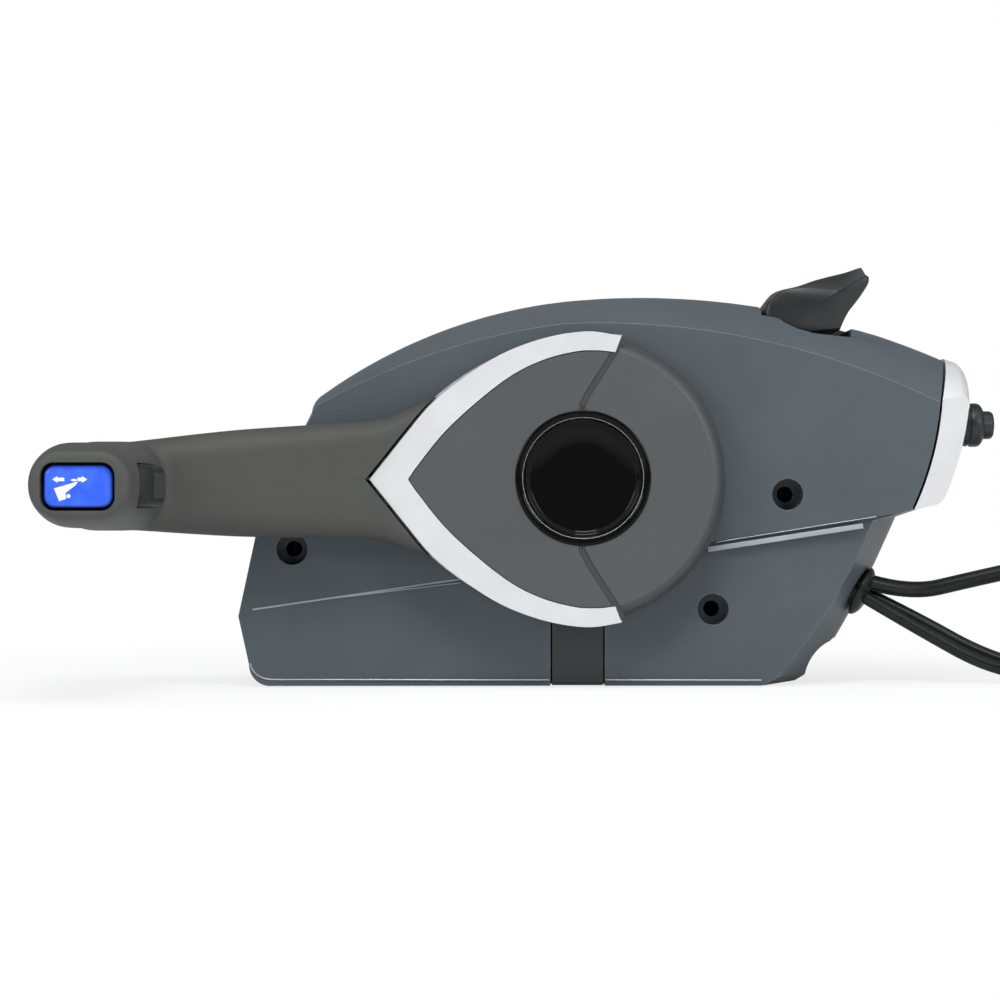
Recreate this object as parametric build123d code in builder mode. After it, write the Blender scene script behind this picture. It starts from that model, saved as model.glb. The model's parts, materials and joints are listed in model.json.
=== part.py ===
"""Side-mount remote control box for a single outboard engine.

Frame: X runs aft along the box, Y runs from the operator to the boat's side, Z is up.
The flat bottom edge of the housing stands on Z = 0.  All dimensions are in millimetres.
"""

from math import atan, cos, degrees, pi, radians, sin, tan
import os

from build123d import *

os.makedirs("parts", exist_ok=True)

# ---------------------------------------------------------------- driving dimensions
LEFT_REACH = 203.6        # pivot to the forward side of the grip
RIGHT_REACH = 168.3       # pivot to the tip of the stop button
PIVOT_Z = 83.0            # pivot above the bottom edge
HOUSING_DEPTH = 72.0      # front face to mounting face, back cover included
GRIP_FRONT = 130.0        # end of the grip in front of the face
WALL = 3.0                # housing wall
COVER = 3.0               # back cover plate
CROWN_DEPTH = 36.0        # depth at which the crown reaches full height
RUN = 0.05                # running clearance, radial
GAP = 0.3                 # gap between neighbouring pieces

PIVOT_X = (LEFT_REACH - RIGHT_REACH) / 2
FACE_Y = GRIP_FRONT - (GRIP_FRONT + HOUSING_DEPTH) / 2
SHELL_DEPTH = HOUSING_DEPTH - COVER

MOUNT_POINTS = [(82.5, -6.4), (52.8, -52.4), (-115.8, -28.3)]
BOLT_R = 3.25             # clearance hole for an M6 bolt
COUNTERBORE_R = 6.3
COUNTERBORE_DEPTH = 12.0
BOSS_R = 9.0

HUB_BACK = 3.2            # back of the lever above the face
HUB_PLATE = 6.0           # thickness of the metal hub plate
HUB_FRONT = 20.4          # front of the hub covers
LEVER_REACH = 182.0       # pivot to the middle of the grip
LEVER_DROP = 3.2          # the grip's middle below the pivot

FACE = Plane(origin=(PIVOT_X, FACE_Y, PIVOT_Z), x_dir=(1, 0, 0), z_dir=(0, -1, 0))
LEVER = Plane(origin=(PIVOT_X, FACE_Y, PIVOT_Z), x_dir=(-1, 0, 0), z_dir=(0, -1, 0))
AFT = Plane(origin=(PIVOT_X, FACE_Y, PIVOT_Z), x_dir=(0, 1, 0), z_dir=(1, 0, 0))


def blend(a, b, t):
    """Point between a and b."""
    return (a[0] + (b[0] - a[0]) * t, a[1] + (b[1] - a[1]) * t)


def lever_section(reach):
    """Plane across the lever: x is down, y is away from the face."""
    origin = (PIVOT_X - reach, FACE_Y, PIVOT_Z)
    return Plane(origin=origin, x_dir=(0, 0, -1), z_dir=(-1, 0, 0))


def save(builder, label):
    """Label the part and write its STEP file."""
    builder.part.label = label
    export_step(builder.part, f"parts/{label}.step")


# ---------------------------------------------------------------- housing outlines
# Each corner is given at the front face and where the form is fully grown behind it.
BOTTOM_LEFT = ((-125.3, -83), (-125.3, -83))
LEFT_LOW = ((-133.0, -74.6), (-133.0, -74.6))
LEFT_WIDE = ((-137.3, -55.1), (-137.3, -55.1))
LEFT_KINK = ((-128.2, -12.8), (-128.4, -12.4))
LEFT_TOP = ((-107.6, 25.6), (-109.3, 27.4))
TOP_LEFT = ((-102.6, 30.9), (-105.0, 34.6))
TOP_RISE = ((-57.0, 50.8), (-57.0, 60.4))
TOP_MID = ((-5.7, 62.1), (-5.7, 72.8))
TOP_FALL = ((60.0, 57.7), (70.0, 71.0))
TOP_AFT = ((143.5, 30.5), (148.2, 48.8))
AFT_BULGE = ((140.6, 12.0), (144.6, 20.0))
AFT_LOW = ((132.1, -12.4), (134.6, -12.6))
UNDER = ((115.7, -17.0), (131.8, -15.0))
AFT_WALL = ((101.9, -45.6), (120.5, -46.0))
AFT_FOOT = ((77.6, -79.4), (101.0, -80.0))
BOTTOM_AFT = ((71.0, -83), (96.0, -83))
# depth behind the face, growth of the crown, growth of the leaning aft wall
STATIONS = [(0, 0, 0), (12, 0.62, 0.25), (CROWN_DEPTH, 1, 0.72), (SHELL_DEPTH, 1, 1)]


def housing_outline(crown, wall):
    """Edges of the housing's side outline."""
    left = [blend(*pair, crown) for pair in (BOTTOM_LEFT, LEFT_LOW, LEFT_WIDE, LEFT_KINK, LEFT_TOP)]
    top = [blend(*pair, crown) for pair in (TOP_LEFT, TOP_RISE, TOP_MID, TOP_FALL, TOP_AFT)]
    aft = [blend(*pair, crown) for pair in (AFT_BULGE, AFT_LOW)]
    low = [blend(*pair, wall) for pair in (UNDER, AFT_WALL, AFT_FOOT, BOTTOM_AFT)]
    corner = blend(left[0], left[1], 0.5)
    shoulder = blend(left[-1], top[0], 0.5)
    with BuildLine() as outline:
        ThreePointArc(left[0], (corner[0] - 1.6, corner[1] - 1.5), left[1])
        Polyline(*left[1:])
        ThreePointArc(left[-1], (shoulder[0] - 0.7, shoulder[1] + 0.7), top[0])
        ThreePointArc(*top[0:3])
        ThreePointArc(*top[2:5])
        ThreePointArc(top[-1], aft[0], aft[1])
        Line(aft[1], low[0])
        ThreePointArc(*low[0:3])
        Polyline(low[2], low[3], left[0])
    return outline.edges()


CAVITY_FACE = [(-130, -79.5), (-133.6, -55), (-124.6, -13.5), (-105, 24), (-58, 46), (-6, 58.5),
               (60, 54), (136, 30), (128, -8.6), (111, -13), (98, -44), (72, -79.5)]
CAVITY_CROWN = [(-130, -79.5), (-133.6, -55), (-124.6, -13.5), (-105, 28), (-58, 55.5), (-6, 68.8),
                (70, 67), (141, 47.5), (130.6, -9), (122, -11.5), (109, -44), (87, -79.5)]
CAVITY_BACK = CAVITY_CROWN[:9] + [(127, -11.5), (116, -46), (96, -79.5)]

SKIRT_STEP = 3.0                               # how far the skirt is set back at its aft end
SKIRT_TILT = degrees(atan(SKIRT_STEP / 262))
INSERT_LEFT, INSERT_RIGHT, INSERT_TOP = -12.4, 9.4, -57.0
INSERT_DEPTH = 14.0

FREE_PIVOT = (85.0, 67.0)                      # free-throttle lever
FREE_NEAR, FREE_FAR = 15.0, 53.0               # its recess, depth behind the face
FREE_BARREL, FREE_LIP = 10.2, 4.0              # its round hinge end, and the lip in front of the shaft
FREE_SHAFT_R = 3.0
SWITCH_Z = 21.9                                # height of both switches
STOP_DEPTH, KEY_DEPTH = 22.0, 48.0
STOP_HOLE_R, KEY_HOLE_R = 6.5, 10.5
GROMMET_R = 8.2                                # hole for the cords' grommet
LOW_SCREWS = [(-118, -66), (-112, 12), (72, -68), (-68, -71)]   # back cover's screws
HIGH_SCREWS = [(-20, 60), (128, 44.5)]
COVER_SCREWS = LOW_SCREWS + HIGH_SCREWS
SCREW_HEAD_R = 3.6
SCREW_HEAD_HEIGHT = 1.7
OUTLET = (106.5, -80.0)                        # control cable outlet at the aft foot
OUTLET_R = 13.5
BUSH_R = 17.0

WALL_PLANE = Plane(
    origin=(PIVOT_X + 114.4, FACE_Y + 31.0, PIVOT_Z - 44.4), x_dir=(0, 1, 0), z_dir=(0.892, 0, -0.451)
)
SKIRT_PLANE = Plane(
    origin=(PIVOT_X - 131.8, FACE_Y, PIVOT_Z),
    x_dir=(cos(radians(SKIRT_TILT)), sin(radians(SKIRT_TILT)), 0),
    z_dir=(sin(radians(SKIRT_TILT)), -cos(radians(SKIRT_TILT)), 0),
)

with BuildPart() as cavity:
    for near, far, inner, outer in (
        (WALL, CROWN_DEPTH, CAVITY_FACE, CAVITY_CROWN),
        (CROWN_DEPTH, SHELL_DEPTH, CAVITY_CROWN, CAVITY_BACK),
    ):
        with BuildSketch(FACE.offset(-near)):
            Polygon(*inner, align=None)
        with BuildSketch(FACE.offset(-far)):
            Polygon(*outer, align=None)
        loft(ruled=True)
    # floor and cheeks of the recess under the free-throttle lever
    with BuildSketch(FACE.offset(-(FREE_NEAR - 4))):
        Polygon((66, 53), (116, 50), (134, 50), (134, 90), (66, 90), align=None)
    extrude(amount=-(FREE_FAR - FREE_NEAR + 8), mode=Mode.SUBTRACT)

with BuildPart() as housing:
    for depth, crown, wall in STATIONS[:3]:
        with BuildSketch(FACE.offset(-depth)):
            make_face(housing_outline(crown, wall))
    loft()
    for depth, crown, wall in STATIONS[2:]:
        with BuildSketch(FACE.offset(-depth)):
            make_face(housing_outline(crown, wall))
    loft()
    # hollow, open at the back
    add(cavity.part, mode=Mode.SUBTRACT)
    # mounting bosses and the shaft's boss
    with BuildSketch(FACE.offset(-WALL / 2)):
        with Locations(*MOUNT_POINTS):
            Circle(BOSS_R)
        Circle(BUSH_R + 3)
    extrude(amount=-(COUNTERBORE_DEPTH + 1.5))
    # posts for the back cover's screws
    for screws, start in ((LOW_SCREWS, 2.5), (HIGH_SCREWS, 16)):
        with BuildSketch(FACE.offset(-start)):
            with Locations(*screws):
                Circle(4.5)
        extrude(amount=-(SHELL_DEPTH - start))
    with BuildSketch(FACE.offset(-SHELL_DEPTH)):
        with Locations(*COVER_SCREWS):
            Circle(1.7)
    extrude(amount=16, mode=Mode.SUBTRACT)
    # stiffening ribs along the front wall
    with BuildSketch(FACE.offset(-WALL)):
        for x in (-95, -62):
            with Locations((x, -20)):
                Rectangle(2.2, 100)
        with Locations((30, 40)):
            Rectangle(2.2, 26)
    extrude(amount=-6)
    # set the lower skirt back, with a sloped ledge under the upper body
    with BuildSketch(SKIRT_PLANE):
        Polygon((0, -52.6), (282, -10.3), (282, -90), (-10, -90), (-10, -54.1), align=None)
    extrude(amount=8, mode=Mode.SUBTRACT)
    # openings in the front
    with BuildSketch(FACE):
        with Locations(*MOUNT_POINTS):
            Circle(COUNTERBORE_R)
    extrude(amount=-COUNTERBORE_DEPTH, mode=Mode.SUBTRACT)
    with BuildSketch(FACE):
        with Locations(*MOUNT_POINTS):
            Circle(BOLT_R)
        Circle(BUSH_R)
    extrude(amount=-(COUNTERBORE_DEPTH + 6), mode=Mode.SUBTRACT)
    with BuildSketch(FACE.offset(1)):
        Polygon(
            (INSERT_LEFT, -90), (INSERT_RIGHT, -90), (INSERT_RIGHT, INSERT_TOP),
            (INSERT_LEFT, INSERT_TOP), align=None,
        )
    extrude(amount=-(INSERT_DEPTH + 1), mode=Mode.SUBTRACT)
    # recess on the crown for the free-throttle lever, and its shaft's holes
    with BuildSketch(FACE.offset(-FREE_NEAR)):
        Polygon((73.4, 66), (76, 60), (112, 56.6), (124, 60), (124, 99), (73.4, 99), align=None)
        with Locations(FREE_PIVOT):
            Circle(FREE_BARREL + 0.6)
    extrude(amount=-(FREE_FAR - FREE_NEAR), mode=Mode.SUBTRACT)
    with BuildSketch(FACE.offset(-(FREE_FAR - 1))):
        with Locations(FREE_PIVOT):
            Circle(FREE_SHAFT_R + RUN)
    extrude(amount=-10, mode=Mode.SUBTRACT)
    # openings in the aft end: switches, cord grommet, control cable outlet
    with BuildSketch(AFT.offset(120)):
        with Locations((STOP_DEPTH, SWITCH_Z)):
            Circle(STOP_HOLE_R)
        with Locations((KEY_DEPTH, SWITCH_Z)):
            Circle(KEY_HOLE_R)
    extrude(amount=40, mode=Mode.SUBTRACT)
    with BuildSketch(WALL_PLANE.offset(8)):
        Circle(GROMMET_R)
    extrude(amount=-26, mode=Mode.SUBTRACT)
    with BuildSketch(FACE.offset(-16)):
        with Locations(OUTLET):
            Circle(OUTLET_R)
    extrude(amount=-SHELL_DEPTH, mode=Mode.SUBTRACT)
save(housing, "housing")

# ---------------------------------------------------------------- back cover and mounting
with BuildPart() as back_cover:
    with BuildSketch(FACE.offset(-SHELL_DEPTH)):
        make_face(housing_outline(1, 1))
        with Locations(*MOUNT_POINTS):
            Circle(5.8, mode=Mode.SUBTRACT)
        with Locations(*COVER_SCREWS):
            Circle(2.2, mode=Mode.SUBTRACT)
        with Locations(OUTLET):
            Circle(OUTLET_R, mode=Mode.SUBTRACT)
    extrude(amount=-COVER)
    # the screws' heads lie flush with the mounting face
    with BuildSketch(FACE.offset(-HOUSING_DEPTH)):
        with Locations(*COVER_SCREWS):
            Circle(SCREW_HEAD_R + GAP)
    extrude(amount=SCREW_HEAD_HEIGHT + 0.1, mode=Mode.SUBTRACT)
    with BuildSketch(FACE.offset(-SHELL_DEPTH)):
        Circle(12)
    extrude(amount=9)
    with BuildSketch(FACE.offset(-(SHELL_DEPTH - 9))):
        Circle(8 + RUN)
    extrude(amount=-9, mode=Mode.SUBTRACT)
save(back_cover, "back_cover")

with BuildPart() as mounting_sleeves:
    with BuildSketch(FACE.offset(-(COUNTERBORE_DEPTH + WALL))):
        with Locations(*MOUNT_POINTS):
            Circle(5.5)
            Circle(BOLT_R, mode=Mode.SUBTRACT)
    extrude(amount=-(HOUSING_DEPTH - COUNTERBORE_DEPTH - WALL))
save(mounting_sleeves, "mounting_sleeves")

with BuildPart() as cover_screws:
    with BuildSketch(FACE.offset(-HOUSING_DEPTH)):
        with Locations(*COVER_SCREWS):
            Circle(SCREW_HEAD_R)
    extrude(amount=SCREW_HEAD_HEIGHT)
    with BuildSketch(FACE.offset(-HOUSING_DEPTH)):
        with Locations(*COVER_SCREWS):
            Circle(1.5)
    extrude(amount=16)
    chamfer(cover_screws.faces().filter_by(Axis.Y).sort_by(Axis.Y)[-6:].edges(), 0.4)
save(cover_screws, "cover_screws")

# ---------------------------------------------------------------- silver end panel
PANEL_TOP_IN = ((144.6, 31.5), (149.4, 49.3))
PANEL_MID_IN = ((141.7, 12.0), (145.8, 20.0))
PANEL_LOW_IN = ((133.3, -12.3), (135.8, -12.7))
PANEL_LOW_OUT = ((140.8, -10.9), (141.6, -11.1))
PANEL_HEEL = ((145.4, -7.6), (146.2, -7.8))
PANEL_MID_OUT = ((152.2, 12.0), (153.0, 14.0))
PANEL_TOP_OUT = ((155.0, 27.5), (157.0, 38.5))
PANEL_BROW = ((152.4, 33.2), (154.0, 47.7))
SWITCH_SEAT = 155.1


def panel_outline(crown):
    """Edges of the end panel's side outline."""
    inner = [blend(*pair, crown) for pair in (PANEL_TOP_IN, PANEL_MID_IN, PANEL_LOW_IN)]
    outer = [blend(*pair, crown) for pair in (PANEL_LOW_OUT, PANEL_HEEL, PANEL_MID_OUT, PANEL_TOP_OUT)]
    brow = blend(*PANEL_BROW, crown)
    with BuildLine() as outline:
        ThreePointArc(*inner)
        Line(inner[-1], outer[0])
        ThreePointArc(outer[0], (outer[1][0] - 1.4, outer[1][1] - 1.8), outer[1])
        ThreePointArc(*outer[1:])
        ThreePointArc(outer[-1], (brow[0] + 2.2, blend(outer[-1], brow, 0.72)[1]), brow)
        Line(brow, inner[0])
    return outline.edges()


with BuildPart() as end_panel:
    for depth, crown, _ in STATIONS[:3]:
        with BuildSketch(FACE.offset(-max(depth, 0.6))):
            make_face(panel_outline(crown))
    loft()
    with BuildSketch(FACE.offset(-CROWN_DEPTH)):
        make_face(panel_outline(1))
    extrude(amount=-(SHELL_DEPTH - CROWN_DEPTH - 1))
    with BuildSketch(AFT.offset(120)):
        with Locations((STOP_DEPTH, SWITCH_Z)):
            Circle(STOP_HOLE_R)
        with Locations((KEY_DEPTH, SWITCH_Z)):
            Circle(KEY_HOLE_R)
    extrude(amount=50, mode=Mode.SUBTRACT)
    # flat seats under the stop switch's collar and the key switch's nut
    with BuildSketch(AFT.offset(SWITCH_SEAT)):
        with Locations((STOP_DEPTH, SWITCH_Z)):
            Circle(9.3)
        with Locations((KEY_DEPTH, SWITCH_Z)):
            Circle(13.8)
    extrude(amount=20, mode=Mode.SUBTRACT)
save(end_panel, "end_panel")

# ---------------------------------------------------------------- switches on the end panel
PANEL_FRONT = 154.0                            # outer surface at the switches

with BuildPart() as stop_switch_body:
    with BuildSketch(AFT.offset(PANEL_FRONT - 38)):
        with Locations((STOP_DEPTH, SWITCH_Z)):
            Rectangle(16, 20)
    extrude(amount=14)
    with BuildSketch(AFT.offset(PANEL_FRONT - 26)):
        with Locations((STOP_DEPTH, SWITCH_Z)):
            Circle(STOP_HOLE_R - GAP)
    extrude(amount=27)
    with BuildSketch(AFT.offset(PANEL_FRONT - 9)):
        with Locations((STOP_DEPTH, SWITCH_Z)):
            Circle(4 + RUN)
    extrude(amount=12, mode=Mode.SUBTRACT)
save(stop_switch_body, "stop_switch_body")

with BuildPart() as stop_switch_collar:
    collar_plane = Plane(
        origin=AFT.from_local_coords((STOP_DEPTH, SWITCH_Z, 0)), x_dir=(1, 0, 0), z_dir=(0, -1, 0)
    )
    with BuildSketch(collar_plane):
        with BuildLine():
            Polyline((155.2, 6.4), (155.2, 8.9), (157.6, 8.9))
            ThreePointArc((157.6, 8.9), (158.6, 8.2), (159.6, 8.9))
            Polyline((159.6, 8.9), (162.6, 8.9), (163.8, 7.8), (163.8, 6.0), (155.2, 6.0), (155.2, 6.4))
        make_face()
    revolve(axis=Axis(origin=AFT.from_local_coords((STOP_DEPTH, SWITCH_Z, 0)), direction=(1, 0, 0)))
save(stop_switch_collar, "stop_switch_collar")

with BuildPart() as stop_button:
    with BuildSketch(AFT.offset(PANEL_FRONT - 4)):
        with Locations((STOP_DEPTH, SWITCH_Z)):
            Circle(4)
    extrude(amount=10)
    with BuildSketch(AFT.offset(PANEL_FRONT + 5.5)):
        with Locations((STOP_DEPTH, SWITCH_Z)):
            Circle(5.7)
    extrude(amount=RIGHT_REACH - PANEL_FRONT - 5.5)
    fillet(stop_button.faces().sort_by(Axis.X)[-1].edges(), 1.4)
save(stop_button, "stop_button")

with BuildPart() as key_switch_body:
    with BuildSketch(AFT.offset(PANEL_FRONT - 44)):
        with Locations((KEY_DEPTH, SWITCH_Z)):
            Circle(14)
    extrude(amount=22)
    with BuildSketch(AFT.offset(PANEL_FRONT - 24)):
        with Locations((KEY_DEPTH, SWITCH_Z)):
            Circle(KEY_HOLE_R - GAP)
    extrude(amount=25)
    with BuildSketch(AFT.offset(PANEL_FRONT - 14)):
        with Locations((KEY_DEPTH, SWITCH_Z)):
            Circle(6.5 + RUN)
    extrude(amount=16, mode=Mode.SUBTRACT)
save(key_switch_body, "key_switch_body")

with BuildPart() as key_switch_nut:
    with BuildSketch(AFT.offset(PANEL_FRONT + 1.2)):
        with Locations((KEY_DEPTH, SWITCH_Z)):
            Circle(13.4)
            Circle(8.6, mode=Mode.SUBTRACT)
    extrude(amount=3)
    chamfer(key_switch_nut.faces().sort_by(Axis.X)[-1].edges(), 0.8)
save(key_switch_nut, "key_switch_nut")

with BuildPart() as key_rotor:
    with BuildSketch(AFT.offset(PANEL_FRONT - 13)):
        with Locations((KEY_DEPTH, SWITCH_Z)):
            Circle(6.5)
    extrude(amount=16.4)
    with BuildSketch(AFT.offset(PANEL_FRONT - 4)):
        with Locations((KEY_DEPTH, SWITCH_Z)):
            Rectangle(2.4, 8)
    extrude(amount=12, mode=Mode.SUBTRACT)
save(key_rotor, "key_rotor")

# ---------------------------------------------------------------- friction adjuster at the bottom
with BuildPart() as friction_cover:
    with BuildSketch(FACE.offset(-1.4)):
        Polygon(
            (INSERT_LEFT + 0.7, -82.8), (INSERT_RIGHT - 0.7, -82.8),
            (INSERT_RIGHT - 0.7, INSERT_TOP - 0.5), (INSERT_LEFT + 0.7, INSERT_TOP - 0.5), align=None,
        )
    extrude(amount=-2.2)
    with BuildSketch(FACE.offset(-3.6)):
        with Locations((-1.5, -81.7)):
            Rectangle(INSERT_RIGHT - INSERT_LEFT - 1.4, 2.2)
    extrude(amount=-(INSERT_DEPTH - 4.2))
    chamfer(friction_cover.edges().filter_by(Axis.X).group_by(Axis.Z)[0].sort_by(Axis.Y)[:1], 1.2)
save(friction_cover, "friction_cover")

FRICTION_X, FRICTION_DEPTH = -1.5, 12.0
FRICTION = Plane(
    origin=(PIVOT_X + FRICTION_X, FACE_Y + FRICTION_DEPTH, PIVOT_Z - 79.5), x_dir=(1, 0, 0), z_dir=(0, 0, 1)
)

with BuildPart() as friction_guide:
    with BuildSketch(FRICTION):
        Rectangle(18, 13)
        Circle(4 + RUN, mode=Mode.SUBTRACT)
    extrude(amount=30)
save(friction_guide, "friction_guide")

with BuildPart() as friction_screw:
    with BuildSketch(FRICTION.offset(4)):
        Circle(4)
    extrude(amount=38)
    with BuildSketch(FRICTION.offset(4)):
        Rectangle(6, 1.4)
    extrude(amount=1.6, mode=Mode.SUBTRACT)
save(friction_screw, "friction_screw")

# ---------------------------------------------------------------- shaft line
with BuildPart() as shaft_bush:
    with BuildSketch(FACE.offset(1.6)):
        Circle(21)
    extrude(amount=-1.6)
    with BuildSketch(FACE):
        Circle(BUSH_R - RUN)
    extrude(amount=-16)
    with BuildSketch(FACE.offset(1.6)):
        Circle(11 + RUN)
    extrude(amount=-20, mode=Mode.SUBTRACT)
save(shaft_bush, "shaft_bush")

with BuildPart() as main_shaft:
    with BuildSketch(FACE.offset(HUB_BACK)):
        Circle(11)
    extrude(amount=-(HUB_BACK + 18))
    with BuildSketch(FACE.offset(-18)):
        Circle(8)
    extrude(amount=-(SHELL_DEPTH - 18.5))
    with BuildSketch(FACE.offset(HUB_BACK)):
        Rectangle(14, 14)
    extrude(amount=HUB_PLATE)
    with BuildSketch(FACE.offset(HUB_BACK + HUB_PLATE)):
        Circle(4.2)
    extrude(amount=-22, mode=Mode.SUBTRACT)
save(main_shaft, "main_shaft")

MODULE = 2.0
ADDENDUM, DEDENDUM = 1.6, 2.5
DRIVE_TEETH, SECTOR_TEETH = 16, 32
CENTRE_DISTANCE = MODULE * (DRIVE_TEETH + SECTOR_TEETH) / 2
GEAR_DEPTH = 22.0                              # front of the gears behind the face
GEAR_WIDTH = 8.0


def tooth(pitch_radius):
    """Corner points of one straight-flanked tooth on the x axis."""
    half = 0.2 * pi * MODULE
    slope = tan(radians(22))
    root, tip = pitch_radius - DEDENDUM - 0.4, pitch_radius + ADDENDUM
    base, crest = half + DEDENDUM * slope, half - ADDENDUM * slope
    return [(root, -base), (tip, -crest), (tip, crest), (root, base)]


with BuildPart() as drive_gear:
    with BuildSketch(FACE.offset(-GEAR_DEPTH)):
        Circle(MODULE * DRIVE_TEETH / 2 - DEDENDUM)
        with PolarLocations(0, DRIVE_TEETH):
            Polygon(*tooth(MODULE * DRIVE_TEETH / 2), align=None)
        Circle(8 + RUN, mode=Mode.SUBTRACT)
    extrude(amount=-GEAR_WIDTH)
save(drive_gear, "drive_gear")

DETENT_R = 21.0
with BuildPart() as detent_wheel:
    with BuildSketch(FACE.offset(-40)):
        Circle(DETENT_R)
        Circle(8 + RUN, mode=Mode.SUBTRACT)
        with PolarLocations(DETENT_R + 1.5, 3, start_angle=100, angular_range=-60, endpoint=True):
            Circle(4, mode=Mode.SUBTRACT)
    extrude(amount=-8)
save(detent_wheel, "detent_wheel")

with BuildPart() as detent_plunger:
    with BuildSketch(FACE.offset(-(SHELL_DEPTH - 29))):
        with Locations((-27.5, 0)):
            Rectangle(10, 9)
    extrude(amount=-29)
save(detent_plunger, "detent_plunger")

# ---------------------------------------------------------------- sector arms for the control cables
SHIFT_ANGLE, THROTTLE_ANGLE = 231.4, 20.0
PIN_R = 4.0


def sector_arm(angle, first, last, arm_angle, arm_length):
    """Toothed sector and cable arm, geared to the shaft from the given direction."""
    centre = (CENTRE_DISTANCE * cos(radians(angle)), CENTRE_DISTANCE * sin(radians(angle)))
    plane = Plane(FACE.offset(-GEAR_DEPTH).from_local_coords((*centre, 0)), x_dir=(1, 0, 0), z_dir=(0, -1, 0))
    pitch = MODULE * SECTOR_TEETH / 2
    root = pitch - DEDENDUM
    step = 360 / SECTOR_TEETH
    # a gap of the sector faces a tooth of the drive gear along the line of centres
    drive_phase = (angle / (360 / DRIVE_TEETH)) % 1
    start = angle + 180 + (0.5 + drive_phase) * step
    end = (arm_length * cos(radians(arm_angle)), arm_length * sin(radians(arm_angle)))
    with BuildPart() as arm:
        with BuildSketch(plane):
            with BuildLine():
                CenterArc((0, 0), root, first, last - first)
                Line((0, 0), (cos(radians(first)) * root, sin(radians(first)) * root))
                Line((0, 0), (cos(radians(last)) * root, sin(radians(last)) * root))
            make_face()
            Circle(9)
            with Locations(end):
                Circle(6)
            side = (5.5 * sin(radians(arm_angle)), -5.5 * cos(radians(arm_angle)))
            Polygon(
                side, (end[0] + side[0], end[1] + side[1]),
                (end[0] - side[0], end[1] - side[1]), (-side[0], -side[1]), align=None,
            )
            for n in range(-SECTOR_TEETH, SECTOR_TEETH):
                direction = start + n * step
                if first + 3 < direction < last - 3:
                    with PolarLocations(0, 1, start_angle=direction):
                        Polygon(*tooth(pitch), align=None)
            Circle(PIN_R + RUN, mode=Mode.SUBTRACT)
            with Locations(end):
                Circle(2.6, mode=Mode.SUBTRACT)
        extrude(amount=-GEAR_WIDTH)
    return centre, arm


shift_centre, shift_arm = sector_arm(SHIFT_ANGLE, -48, 66, 196, 31)
save(shift_arm, "shift_arm")
throttle_centre, throttle_arm = sector_arm(THROTTLE_ANGLE, 102, 216, -62, 30)
save(throttle_arm, "throttle_arm")

with BuildPart() as arm_pins:
    with BuildSketch(FACE.offset(-(GEAR_DEPTH - 2))):
        with Locations(shift_centre, throttle_centre):
            Circle(PIN_R)
    extrude(amount=-(SHELL_DEPTH - GEAR_DEPTH + 2))
    with BuildSketch(FACE.offset(-(GEAR_DEPTH + GEAR_WIDTH + 0.4))):
        with Locations(shift_centre, throttle_centre):
            Circle(7)
    extrude(amount=-(SHELL_DEPTH - GEAR_DEPTH - GEAR_WIDTH - 0.4))
save(arm_pins, "arm_pins")

with BuildPart() as pin_washers:
    with BuildSketch(FACE.offset(-(GEAR_DEPTH - 0.4))):
        with Locations(shift_centre, throttle_centre):
            Circle(6.5)
            Circle(PIN_R + RUN, mode=Mode.SUBTRACT)
    extrude(amount=1.2)
save(pin_washers, "pin_washers")

with BuildPart() as neutral_switch:
    with BuildSketch(FACE.offset(-(SHELL_DEPTH - 24))):
        with Locations((0, 36)):
            Rectangle(20, 10)
    extrude(amount=-24)
save(neutral_switch, "neutral_switch")

with BuildPart() as cable_anchor:
    with BuildSketch(FACE.offset(-26)):
        with Locations((78, -59.5)):
            Rectangle(20, 7)
    extrude(amount=-(SHELL_DEPTH - 26))
    with BuildSketch(Plane(AFT.offset(68).origin, x_dir=(0, 1, 0), z_dir=(1, 0, 0))):
        with Locations((38, -59.5), (54, -59.5)):
            Circle(2.6)
    extrude(amount=20, mode=Mode.SUBTRACT)
save(cable_anchor, "cable_anchor")

# ---------------------------------------------------------------- free-throttle lever
with BuildPart() as free_throttle_lever:
    with BuildSketch(FACE.offset(-(FREE_NEAR + 1))):
        with BuildLine():
            Polyline((106.4, 60.2), (86.0, 58.4), (82.0, 70.0), (83.5, 77.1), (89.8, 78.6))
            ThreePointArc((89.8, 78.6), (102.0, 83.0), (115.2, 86.4))
            ThreePointArc((115.2, 86.4), (117.3, 85.4), (117.7, 83.0))
            ThreePointArc((117.7, 83.0), (113.6, 72.6), (107.4, 63.6))
            Line((107.4, 63.6), (106.4, 60.2))
        make_face()
        with Locations(FREE_PIVOT):
            Circle(FREE_BARREL)
    extrude(amount=-(FREE_FAR - FREE_NEAR - 2))
    # thumb dish along the top, deepest towards the tip
    dish = Plane(
        origin=FACE.from_local_coords((84.0, 113.0, -(FREE_NEAR + FREE_FAR) / 2)),
        x_dir=(0, 1, 0), z_dir=(cos(radians(9)), 0, sin(radians(9))),
    )
    with BuildSketch(dish):
        Circle(31.2)
    extrude(amount=60, mode=Mode.SUBTRACT)
    with BuildSketch(FACE.offset(-(FREE_NEAR + FREE_LIP))):
        with Locations(FREE_PIVOT):
            Circle(FREE_SHAFT_R + RUN)
    extrude(amount=-(FREE_FAR - FREE_NEAR), mode=Mode.SUBTRACT)
save(free_throttle_lever, "free_throttle_lever")

with BuildPart() as free_throttle_shaft:
    with BuildSketch(FACE.offset(-(FREE_NEAR + FREE_LIP))):
        with Locations(FREE_PIVOT):
            Circle(FREE_SHAFT_R)
    extrude(amount=-42)
save(free_throttle_shaft, "free_throttle_shaft")

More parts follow.
